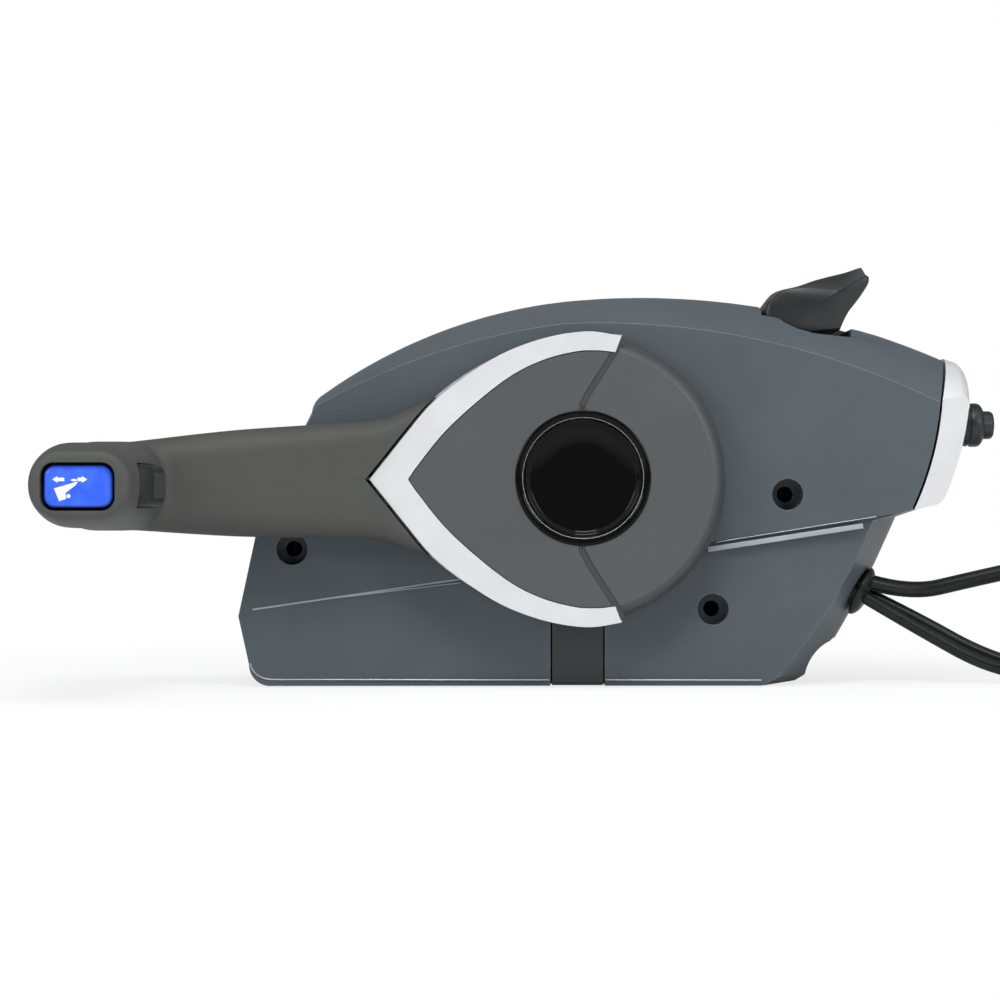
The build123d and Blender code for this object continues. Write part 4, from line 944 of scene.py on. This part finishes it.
# ---------------------------------------------------------------- small turned and moulded pieces
def make_trim(tune):
    """Silver wings over the hub plate, ending in a slant on both sides."""
    outline = trim_line(WING_OUT) + list(reversed(trim_line(WING_IN)))
    wings = prism(outline, COVER_SEAT, 22.2, at)
    cut(wings, prism(rectangle(-95, -55, ROD_HALF), COVER_SEAT - 1, ROD_TOP, at))
    finish_edges(wings, tune.trim_edge * 1.4, 40, 2)
    wings.name = "silver_wings"
    return dress(wings, "lever", "silver_trim", "silver_bezel")


def seam_line(grow=0.0):
    """Joint between the covers, from the lower end to the upper, with the hub's middle skipped."""
    upper = [tuple(p) for p in SEAM]
    return offset_line([(x, -z) for x, z in reversed(upper)] + upper, grow)


def make_covers():
    """Front and rear hub covers, hollow behind, parted by a shallow open joint; the dark strips in the joint
    and the rear rim's darker band are painted shade.
    """
    lip, floor = COVER_TOP + 0.3, COVER_TOP - 0.7
    groove = [(-1.5, lip), (1.5, lip), (1.1, floor), (-1.1, floor)]
    far = COVER_TOP + 5
    front = prism(trim_line(WING_IN, -0.35), COVER_SEAT, COVER_TOP, at)
    shrunk = [(-18 + (x + 18) * 0.93, (z + TRIM_DROP) * 0.93 - TRIM_DROP) for x, z in trim_line(WING_IN)]
    hollow = prism(shrunk, COVER_SEAT - 1, COVER_TOP - 2.6, at)
    behind = seam_line(0.2) + [(90, 63), (90, -63)]
    cut(
        front, hollow, prism(behind, COVER_SEAT - 1, far, at), swept(seam_line(), groove),
        prism(rectangle(-95, -20, ROD_HALF), COVER_SEAT - 1, ROD_TOP, at),
        round_cutter(26.5, COVER_SEAT - 1, far),
    )
    finish_edges(front, 0.00035, 40, 2)
    front.name = "front_cover"
    dress(front, "lever", "cover_plastic", "hub_front_cover")
    # dark strips laid in the joint's groove: painted shade
    for name, side in (("joint_shade_upper", 1), ("joint_shade_lower", -1)):
        line = [(x, side * z) for x, z in SEAM[1:-1]]
        line.append((15.6, side * 55.4))
        low, high = COVER_TOP - 1.3, COVER_TOP - 0.5
        base = [(-1.15, low), (-1.15, high), (1.15, high), (1.15, low)]
        strip = swept(line, base, name)
        strip.name = name
        dress(strip, "lever", "cover_plastic", material="joint_painted_shade")

    low = HUB_BACK / MM
    rim = [(REAR_R, low), (REAR_R, low + 2.5)]
    for k in range(1, 13):
        t = radians(90 * k / 12)
        rim.append((REAR_R - 5.6 * (1 - cos(t)), low + 2.5 + (COVER_TOP - low - 2.5) * sin(t) ** 0.8))
    profile = [(26.5, COVER_TOP - 2.6), (52.4, COVER_TOP - 2.6), (54.0, low)] + rim + [(26.5, COVER_TOP)]
    bm = bmesh.new()
    spun(bm, [(r * MM, a * MM) for r, a in profile], (PIVOT.x, FACE_Y, PIVOT.z), (0, -1, 0), 192)
    rear = mesh_object("rear_cover", bm, False)
    before = seam_line(-0.2) + [(-90, 63), (-90, -63)]
    cut(rear, prism(before, low - 1, far, at), swept(seam_line(), groove))
    edges_by_angle(rear, 26)
    rear.data.materials.append(FINISH["cover_plastic"])
    rear.data.materials.append(FINISH["rim_painted_shade"])
    # rim faces turned away from the front take the darker finish: painted shade
    for polygon in rear.data.polygons:
        out = hypot(polygon.center.x - PIVOT.x, polygon.center.z - PIVOT.z) / MM
        polygon.material_index = int(out > 51 and polygon.normal.y > -0.93)
    return dress(rear, "lever", "cover_plastic", "hub_rear_cover", worn=True)


def round_cutter(radius, low, high):
    """Cylinder about the pivot."""
    bm = bmesh.new()
    spun(bm, [(0, low * MM), (radius * MM, low * MM), (radius * MM, high * MM), (0, high * MM)],
         (PIVOT.x, FACE_Y, PIVOT.z), (0, -1, 0), 128)
    return mesh_object("cutter", bm, False)


def make_hub_cap():
    """Glossy dished cap with a raised rim, and the ring round it."""
    edge = 23.0
    cap = [
        (0, 17.0), (edge, 17.0), (edge, 21.5), (edge - 0.2, 21.75), (edge - 0.6, 21.7), (edge - 1.1, 21.35),
        (edge - 1.7, 20.9), (edge - 2.2, 20.62), (edge - 2.7, 20.5), (12, 20.5), (6, 20.5), (0, 20.5),
    ]
    forward = (0, -1, 0)
    centre = Vector((PIVOT.x, FACE_Y, PIVOT.z))
    made = turned("hub_lens", cap, centre, forward, "lever", "gloss_black", "hub_cap", segments=160, angle=60)
    ring = [
        (23.3, 9.2), (26.2, 9.2), (26.2, 21.84), (26.6, 21.86), (26.62, 22.1), (26.4, 22.3), (25.4, 22.35),
        (24.6, 22.2), (24.0, 21.95), (23.3, 21.6),
    ]
    bead = [(23.4, 21.5), (23.5, 22.1), (23.66, 22.32), (23.84, 22.32), (24.0, 22.1), (24.1, 21.8)]
    turned("cap_bead", bead, centre, forward, "lever", "steel", segments=160, material="cap_bead")
    collar = turned(
        "hub_ring", ring, centre, forward, "lever", "black_plastic", "cap_ring", segments=160, angle=60,
        material="gloss_black",
    )
    cut(collar, prism(rectangle(17, 33, ROD_HALF), 8.5, ROD_TOP, lambda x, y, h: at(-x, -y, h)))
    edges_by_angle(collar, 60)
    return made


def raised_print(outlines, name, plane, thickness, body, slot):
    """Flat raised print from closed outlines."""
    bm = bmesh.new()
    for outline in outlines:
        low = [bm.verts.new(plane(x, y, 0)) for x, y in outline]
        high = [bm.verts.new(plane(x, y, thickness)) for x, y in outline]
        count = len(outline)
        for i in range(count):
            j = (i + 1) % count
            bm.faces.new((low[i], low[j], high[j], high[i]))
        bm.faces.new(low[::-1])
        bm.faces.new(high)
    bmesh.ops.recalc_face_normals(bm, faces=bm.faces)
    piece = mesh_object(name, bm, False)
    return dress(piece, body, slot, material="white_print")


def ellipse(cx, cy, rx, ry, steps=20):
    return [(cx + rx * cos(2 * pi * i / steps), cy + ry * sin(2 * pi * i / steps)) for i in range(steps)]


def make_rocker():
    """Tilt rocker: a rounded pad, slightly dished, with its symbols printed on."""
    bm = bmesh.new()
    rings = []
    for half, tall, height, corner in (
        (7.0, 4.4, 121.5, 2.2), (12.1, 7.4, 123.8, 3.6), (12.2, 7.5, 127.2, 3.8), (12.0, 7.3, 127.9, 3.7),
        (11.5, 6.8, 128.3, 3.4), (10.6, 5.9, 128.35, 2.9), (9.9, 5.2, 128.2, 2.5), (6.5, 3.4, 128.2, 1.6),
    ):
        ring = round_box(half, -tall, tall, corner, corner)
        rings.append([at(-GRIP_X - x, -y - ROCKER_DROP, height) for x, y in ring])
    loft(bm, rings)
    pad = mesh_object("rocker", bm)
    edges_by_angle(pad, 50)
    dress(pad, "rocker", "blue_plastic", "trim_rocker")

    def plane(x, y, h):
        # x aft, y up, on the rocker's face
        return at(-GRIP_X + x, -ROCKER_DROP + y, ROCKER_FACE + h)

    head, tail = 1.2, 0.62
    marks = [
        [(-9.1, 2.5), (-7.3, 2.5 + head), (-7.3, 2.5 + tail), (-4.8, 2.5 + tail), (-4.8, 2.5 - tail),
         (-7.3, 2.5 - tail), (-7.3, 2.5 - head)],
        [(3.3, 2.5), (1.5, 2.5 + head), (1.5, 2.5 + tail), (-0.1, 2.5 + tail), (-0.1, 2.5 - tail),
         (1.5, 2.5 - tail), (1.5, 2.5 - head)],
        ellipse(-1.4, 2.25, 1.1, 0.42),
        [(-8.5, -0.7), (0.1, 1.8), (-0.8, 0.45), (-4.4, -2.3), (-4.2, -4.4), (-6.7, -5.2), (-7.5, -3.0)],
        ellipse(-3.3, -3.4, 0.72, 0.72),
    ]
    return raised_print(marks, "rocker_symbols", plane, 0.05, "rocker", "blue_plastic")


# ---------------------------------------------------------------- small pieces on the housing
AFT_AXIS = (1, 0, 0)
STOP_AT, KEY_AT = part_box("stop_button"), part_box("key_rotor")


def middle_of(box):
    return (box[0] + box[1]) / 2


def make_switches():
    """Stop switch with its collar and button, key switch nut and rotor, lock trigger."""
    place = middle_of(STOP_AT)
    origin = Vector((PIVOT.x, place.y, place.z))
    collar = [
        (6.0, 155.2), (7.4, 155.2), (8.3, 155.8), (8.7, 156.6), (8.7, 157.3), (8.3, 157.6), (8.3, 158.2),
        (8.8, 158.6), (8.9, 159.6), (8.9, 161.4), (8.4, 162.6), (7.4, 163.4), (6.6, 163.8), (6.0, 163.8),
    ]
    turned(
        "stop_collar", collar, origin, AFT_AXIS, "housing", "black_plastic", "stop_switch_collar", angle=40,
        material="switch_black",
    )
    tip = (STOP_AT[1].x - PIVOT.x) / MM
    button = [
        (0, 154.0), (3.5, 154.0), (3.5, 150.0), (4.0, 150.0), (4.0, 159.5), (5.7, 159.5), (5.7, tip - 1.7),
        (5.4, tip - 0.8), (4.7, tip - 0.2), (3.8, tip), (3.2, tip - 0.3), (0, tip - 0.45),
    ]
    turned(
        "stop_knob", button, origin, AFT_AXIS, "stop_button", "black_plastic", "stop_button", angle=50,
        material="switch_black",
    )
    bevelled("key_switch_nut", "key_nut", 0.0003, "housing", "steel")
    bevelled("key_rotor", "key_barrel", 0.0003, "key", "steel")
    make_trigger()


def make_trigger():
    """Lock trigger: a rounded pad in the grip's slot, ribbed on its face, with a leg to the lock rod."""
    bm = bmesh.new()
    low, high, front, back = 50.0, 98.0, 160.0, 173.4
    rings = []
    for k in range(25):
        t = k / 24
        height = low + (high - low) * (t * t * (3 - 2 * t))
        near = min(height - low, high - height)
        pull = 7.4 - sqrt(max(0.0, 7.4 ** 2 - (7.4 - near) ** 2)) if near < 7.4 else 0.0
        half, face = 7.8 - pull * 0.8, front + pull * 0.9
        ring = round_box((back - face) / 2, -half, half, min(3.4, half * 0.8), min(3.4, half * 0.8))
        rings.append([at(-(face + back) / 2 - x, -LEVER_DROP / MM - y, height) for x, y in ring])
    loft(bm, rings)
    pad = mesh_object("trigger", bm)
    stem = rectangle(-175.3, -169.7, 4)
    leg = prism(stem, COVER_SEAT + 0.4, 60, lambda x, y, h: at(x, y - LEVER_DROP / MM, h))
    combine(pad, "UNION", leg)
    bake(pad)
    bpy.data.objects.remove(leg)
    bore = bmesh.new()
    spun(bore, [(0, -0.1701), (0.0046, -0.1701), (0.0046, -0.1760), (0, -0.1760)],
         at(0, -LEVER_DROP / MM, 72), AFT_AXIS, 40)
    cut(pad, mesh_object("cutter", bore, False))
    edges_by_angle(pad, 40)
    # the trigger's finish is darker than the other black plastic: painted shade
    dress(pad, "trigger", "black_plastic", "lock_trigger", material="trigger_black_painted_shade")
    ribs = [at(-160.15, -LEVER_DROP / MM, 59 + 4.2 * k) for k in range(8)]
    repeated("trigger_ribs", RIBS, ribs, (0, 0, 0), "trigger", "black_plastic", 0.0095, 0.001, 0.00075)


def fuller_skirt(piece):
    """Let the skirt's aft wall swell towards the upper body, most at the back."""
    for vertex in piece.data.vertices:
        aft = (vertex.co.x - PIVOT.x) / MM
        up = (vertex.co.z - PIVOT.z) / MM
        depth = (vertex.co.y - FACE_Y) / MM
        if aft > 95 and -66 < up < -11.5:
            share = ((up + 66) / 52) ** 1.8 * min(1.0, max(0.0, depth) / 30)
            vertex.co.x += 3.4 * MM * share * min(1.0, (aft - 95) / 12)


def make_housing(tune):
    """Housing shell with its broken edges, fuller skirt and the dip in front of the free-throttle lever."""
    shell = copy_of("housing", "housing_shell")
    fuller_skirt(shell)
    dip = [
        (76.2, 68.4), (79.5, 65.7), (83.1, 62.8), (87.4, 60.6), (94.0, 58.7), (104.0, 57.7),
        (112.0, 57.2), (113.0, 59.0), (113.0, 84.0), (76.2, 84.0),
    ]
    cut(shell, prism(dip, -15.5, -4, at))
    # the shell's bevels are painted pale: a painted highlight along the creases
    finish_edges(shell, tune.mould_edge, 20, 2, True)
    dress(shell, "housing", "housing_plastic", "housing", worn=True)
    ramp = [(109.6, 60.9), (113.0, 60.1), (118.9, 58.4), (124.4, 56.6), (124.4, 50.0), (109.6, 50.0)]
    seat = prism(ramp, -52.4, -15.4, at)
    finish_edges(seat, tune.mould_edge, 20, 2)
    seat.name = "recess_ramp"
    dress(seat, "housing", "housing_plastic")
    back = copy_of("back_cover", "back_plate")
    fuller_skirt(back)
    # the back plate's bevels are painted pale: a painted highlight along the creases
    finish_edges(back, tune.mould_edge, 30, 2, True)
    dress(back, "housing", "housing_plastic", "back_cover", worn=True)


HINGE = (85, 67, 10.2)                         # free-throttle lever's hinge: aft, up, radius


def make_scoop():
    """Free-throttle lever: a thumb scoop with a low front rim, a dished top and a high back rim."""
    front_rim = [
        (78.7, 73.8), (81.1, 76.0), (84.7, 77.4), (89.1, 77.9), (96.0, 77.6), (101.4, 77.1),
        (106.5, 77.0), (110.5, 79.2), (113.4, 81.3), (115.9, 82.8),
    ]
    back_rim = [
        (78.7, 75.2), (81.1, 77.5), (84.7, 79.0), (91.6, 80.6), (98.3, 82.9), (105.0, 84.7),
        (110.4, 86.0), (113.9, 87.1), (116.4, 88.0), (118.2, 88.4),
    ]
    end = [
        (117.4, 82.0), (117.0, 79.2), (114.1, 74.5), (111.4, 70.9), (108.7, 67.3), (106.4, 62.6),
        (105.6, 60.6),
    ]
    floor = [(100.0, 60.0), (93.0, 59.2), (86.0, 57.4)]
    x, z, r = HINGE
    hinge = [(x + r * cos(radians(a)), z + r * sin(radians(a))) for a in (255, 235, 215, 195, 175, 155)]
    below = curve_through(end, 4) + curve_through(floor + hinge, 3)
    bm = bmesh.new()
    rings = []
    for depth, shrink in (
        (16.0, 0.075), (16.2, 0.045), (16.7, 0.022), (17.4, 0.008), (18.4, 0), (21, 0), (24, 0), (28, 0),
        (32, 0), (36, 0), (40, 0), (44, 0), (47, 0), (49.4, 0), (50.6, 0.008), (51.4, 0.022),
        (51.8, 0.045), (52.0, 0.075),
    ):
        share = min(1.0, max(0.0, (depth - 17.4) / 32))
        points = []
        for i, (low, high) in enumerate(zip(front_rim, back_rim)):
            along = i / (len(front_rim) - 1)
            dip = 2.6 * sin(pi * share) ** 0.8 * sin(pi * min(1.0, max(0.0, (along - 0.15) / 0.85)))
            points.append((low[0] + (high[0] - low[0]) * share, low[1] + (high[1] - low[1]) * share - dip))
        ring = curve_through(points, 4) + below
        rings.append([at(x + (97 - x) * shrink, z + (71 - z) * shrink, -depth) for x, z in ring])
    loft(bm, rings)
    scoop = mesh_object("throttle_scoop", bm)
    bore = bmesh.new()
    spun(bore, [(0, 0.019), (0.00305, 0.019), (0.00305, 0.056), (0, 0.056)], at(*HINGE[:2]), (0, 1, 0), 40)
    cut(scoop, mesh_object("cutter", bore, False))
    edges_by_angle(scoop, 50)
    return dress(scoop, "free_throttle", "black_plastic", "free_throttle_lever", material="switch_black")


# raised lines on the face, aft and up from the pivot, with their width
LINES = {
    "ledge_bead": ([(-131.6, -52.4), (-48.2, -40.2)], 0.75),
    "ledge_under": ([(-98.0, -47.7), (-48.2, -41.6)], 0.4),
    "ledge_step": ([(50.6, -28.4), (112.6, -18.9)], 2.0),
    "ledge_over": ([(54.0, -25.4), (118.0, -15.2)], 0.35),
    "foot_lip": ([
        (-132.5, -73.8), (-131.7, -76.2), (-129.6, -78.6), (-126.0, -80.1), (-121.0, -80.4),
        (-115.0, -80.4), (-105.0, -80.4), (-85.0, -80.4), (-50.0, -80.5), (-12.9, -80.5),
    ], 0.5),
    "foot_lip_aft": ([(9.7, -80.5), (72.0, -80.6)], 0.5),
}


def make_beads():
    """Raised lines of the housing: ledges under the upper body and lip round the foot, coloured pale as a
    painted highlight.
    """
    for name, (path, wide) in LINES.items():
        line = curve_through(path, 8)
        high, half = min(0.55, wide * 0.6), wide / 2
        profile = [(half, -0.4), (half, 0.05), (0, high * 0.7), (-half, high), (-half - 0.1, -0.4)]
        piece = swept(line, profile, name)
        finish_edges(piece, 0.0001, 30, 2)
        piece.name = name
        # pale finish: painted highlight of the light the ledges and lip catch
        dress(piece, "housing", "housing_plastic", material="painted_edge_highlight")


SCREW_HIGH = 1.7                               # height of a screw's head
BACK_SCREWS = ((-118, -66), (-112, 12), (72, -68), (-68, -71), (-20, 60), (128, 44.5))


def make_back_screws():
    """Raised cross-recess heads of the screws that hold the back cover."""
    seat = (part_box("cover_screws")[1].y - FACE_Y) / MM - SCREW_HIGH / 2
    heads = [at(x, z, -seat) for x, z in BACK_SCREWS]
    repeated("back_screws", SCREWS, heads, (radians(-90), 0, 0), "housing", "steel", 0.0071, SCREW_HIGH * MM,
             0.0009, "cover_screws")


BOLTS = ((82.5, -6.4), (52.8, -52.4), (-115.8, -28.3))


def make_bore_shades():
    """Black rubber rings at the back of the mounting sleeves, nearly closing the bores: painted shade in the
    bolt holes.
    """
    ring = [(0.7, 70.6), (3.2, 70.3), (3.2, 71.6), (0.7, 71.3)]
    for i, (x, z) in enumerate(BOLTS):
        turned(f"bore_shade_{i + 1}", ring, at(x, z), (0, 1, 0), "housing", "cord_rubber", segments=32)


def make_grommet():
    """Rubber grommet: wide flange close to the wall and a short stepped sleeve."""
    axis = Vector((0.866, -0.24, -0.438))
    origin = Vector((0.1318, 0.060, 0.0378))
    profile = [
        (0, -5), (7.6, -5), (7.6, 1.4), (10.2, 1.2), (10.5, 1.7), (10.3, 2.4), (9.2, 3.5), (7.6, 4.4),
        (5.6, 5.0), (3.0, 5.2), (0, 5.2),
    ]
    return turned(
        "grommet", profile, origin, axis, "housing", "cord_rubber", "cable_grommet", segments=72, angle=50
    )


# ---------------------------------------------------------------- stage
LENS, SENSOR = 101.7, 36                       # millimetres
CAMERA_AT = (-0.01495, -1.101, 0.0744)         # metres
FLOOR_DROP = 0.0004                            # floor below the part's foot
# light tent, from in front of the box round to behind it: place and brightness
SKY = ((0.0, 0.03), (0.10, 0.05), (0.24, 0.62), (0.42, 0.50), (0.62, 0.12), (0.85, 0.11), (0.97, 0.12))
SKY_LEVEL = 2.3
LAMP_AIM = Vector((0.0, 0.03, 0.08))
# name, place, size, power
LAMPS = (
    ("left", (-0.90, -1.10, 0.55), 0.45, 4.2), ("right", (0.90, -1.10, 0.55), 0.45, 3.6),
    ("above", (0.0, -0.70, 1.00), 0.35, 5.0),
)


def make_stage(tune):
    """Camera, floor, backdrop and soft studio light."""
    scene = bpy.context.scene
    camera = bpy.data.objects.new("camera", bpy.data.cameras.new("camera"))
    camera.data.lens, camera.data.sensor_width = LENS, SENSOR
    camera.data.clip_start, camera.data.clip_end = 0.05, 30
    camera.location = CAMERA_AT
    camera.rotation_euler = (pi / 2, 0, 0)
    scene.collection.objects.link(camera)
    scene.camera = camera
    scene.view_settings.view_transform = "Standard"
    scene.view_settings.look = "None"

    ground = Graph("floor")
    seen = ground.node("ShaderNodeLightPath", output=0)
    grain = ground.noise(9, 4).over(0.2, 0.8)
    tone = ground.mix(grain, tuple(c - 0.01 for c in tune.backdrop), tuple(c + 0.01 for c in tune.backdrop))
    matt = ground.node("ShaderNodeBsdfDiffuse", None, {"Color": tone})
    white = ground.node("ShaderNodeEmission", None, {"Color": (1, 1, 1), "Strength": 1.0})
    away = (ground.axis("X") ** 2 + (ground.axis("Y") - 0.05) ** 2) ** 0.5
    clear_of = away.over(0.17, 0.42) * 0.24 + 0.76
    both = ground.node("ShaderNodeMixShader", None, {0: seen * clear_of, 1: matt, 2: white})
    ground.node("ShaderNodeOutputMaterial", None, {0: both})
    bm = bmesh.new()
    corners = [(-6, -3, 0), (6, -3, 0), (6, 6, 0), (-6, 6, 0)]
    bm.faces.new([bm.verts.new(Vector(c) - Vector((0, 0, FLOOR_DROP))) for c in corners])
    floor = mesh_object("floor", bm, False)
    floor.data.materials.append(ground.material)

    scene.world = bpy.data.worlds.new("studio")
    sky = Graph("studio", scene.world)
    facing = sky.node("ShaderNodeSeparateXYZ", None, {0: sky.node("ShaderNodeTexCoord")}, output=1)
    towards = sky.node("ShaderNodeMapRange", None, {"Value": facing, "From Min": -1.0, "From Max": 1.0})
    tent = sky.node("ShaderNodeValToRGB", None, {0: towards})
    ramp = tent.socket.node.color_ramp
    ramp.interpolation = "EASE"
    while len(ramp.elements) < len(SKY):
        ramp.elements.new(0.5)
    for element, (where, value) in zip(ramp.elements, SKY):
        element.position, element.color = where, (value, value, value, 1)
    soft = sky.node("ShaderNodeBackground", None, {0: (0.97, 0.98, 1.0), 1: tent * SKY_LEVEL})
    clear = sky.node("ShaderNodeBackground", None, {0: (1, 1, 1)})
    pick = sky.node("ShaderNodeMixShader", None, {0: sky.node("ShaderNodeLightPath"), 1: soft, 2: clear})
    sky.node("ShaderNodeOutputWorld", None, {0: pick})

    for name, where, size, power in LAMPS:
        data = bpy.data.lights.new(name, "AREA")
        data.shape, data.size, data.energy = "SQUARE", size, power
        lamp = bpy.data.objects.new(name, data)
        lamp.location = where
        lamp.rotation_euler = (LAMP_AIM - Vector(where)).to_track_quat("-Z", "Y").to_euler()
        scene.collection.objects.link(lamp)


# ---------------------------------------------------------------- operators
class CONTROLBOX_OT_stage(bpy.types.Operator):
    """Camera, floor, backdrop and lights"""

    bl_idname = "control_box.stage"
    bl_label = "Stage"

    def execute(self, context):
        make_stage(context.scene.control_box)
        return {"FINISHED"}


class CONTROLBOX_OT_cords(bpy.types.Operator):
    """Main harness and two thin leads, with their plugs and ties"""

    bl_idname = "control_box.cords"
    bl_label = "Cords"

    def execute(self, context):
        tune = context.scene.control_box
        make_cord("harness", tune.harness_length)
        make_cord("sensor_lead", tune.lead_length)
        make_cord("power_lead", tune.lead_length)
        return {"FINISHED"}


class CONTROLBOX_OT_lever(bpy.types.Operator):
    """Soft-touch lever with its pockets, on the metal bar"""

    bl_idname = "control_box.lever"
    bl_label = "Lever"

    def execute(self, context):
        make_lever_body(context.scene.control_box)
        return {"FINISHED"}


class CONTROLBOX_OT_hub(bpy.types.Operator):
    """Silver trim, hub covers, ring and glossy cap"""

    bl_idname = "control_box.hub"
    bl_label = "Hub"

    def execute(self, context):
        tune = context.scene.control_box
        make_trim(tune)
        make_covers()
        make_hub_cap()
        return {"FINISHED"}


class CONTROLBOX_OT_switches(bpy.types.Operator):
    """Trim rocker with its symbols, lock trigger, stop button and key switch"""

    bl_idname = "control_box.switches"
    bl_label = "Switches"

    def execute(self, context):
        make_rocker()
        make_switches()
        return {"FINISHED"}


class CONTROLBOX_OT_housing(bpy.types.Operator):
    """Housing, back cover and end panel"""

    bl_idname = "control_box.housing"
    bl_label = "Housing"

    def execute(self, context):
        tune = context.scene.control_box
        make_housing(tune)
        make_back_screws()
        bevelled("end_panel", "end_plate", tune.trim_edge * 2, "housing", "silver_trim", segments=3)
        make_scoop()
        make_beads()
        make_bore_shades()
        make_grommet()
        return {"FINISHED"}


class CONTROLBOX_OT_insides(bpy.types.Operator):
    """Finishes for the pieces that keep their engineering form"""

    bl_idname = "control_box.insides"
    bl_label = "Insides"

    def execute(self, context):
        for name, node in NODES.items():
            finish = FINISH[slot_of(name)]
            for place in node.material_slots:
                place.material = finish
        return {"FINISHED"}


def slot_of(name):
    """Material slot of a CAD node: the loader names its material after it."""
    node = NODES[name]
    found = [place.material.name for place in node.material_slots if place.material]
    for slot_name in FINISH:
        if any(slot_name == f.split(".")[0] for f in found):
            return slot_name
    raise RuntimeError(f"{name} has no known material slot: {found}")


class CONTROLBOX_PT_panel(bpy.types.Panel):
    """Buttons for every piece"""

    bl_label = "Control Box"
    bl_idname = "CONTROLBOX_PT_panel"
    bl_space_type = "VIEW_3D"
    bl_region_type = "UI"
    bl_category = "Control Box"

    def draw(self, context):
        tune = context.scene.control_box
        for name in ControlBoxSettings.__annotations__:
            self.layout.prop(tune, name)
        for step in STEPS:
            self.layout.operator(step.bl_idname)


STEPS = (
    CONTROLBOX_OT_stage, CONTROLBOX_OT_cords, CONTROLBOX_OT_housing, CONTROLBOX_OT_hub, CONTROLBOX_OT_lever,
    CONTROLBOX_OT_switches, CONTROLBOX_OT_insides,
)
CLASSES = (ControlBoxSettings, *STEPS, CONTROLBOX_PT_panel)


def register():
    for cls in CLASSES:
        bpy.utils.register_class(cls)
    bpy.types.Scene.control_box = bpy.props.PointerProperty(type=ControlBoxSettings)


def unregister():
    del bpy.types.Scene.control_box
    for cls in reversed(CLASSES):
        bpy.utils.unregister_class(cls)


def main():
    register()
    for step in STEPS:
        group, name = step.bl_idname.split(".")
        getattr(getattr(bpy.ops, group), name)()


if __name__ == "__main__":
    main()
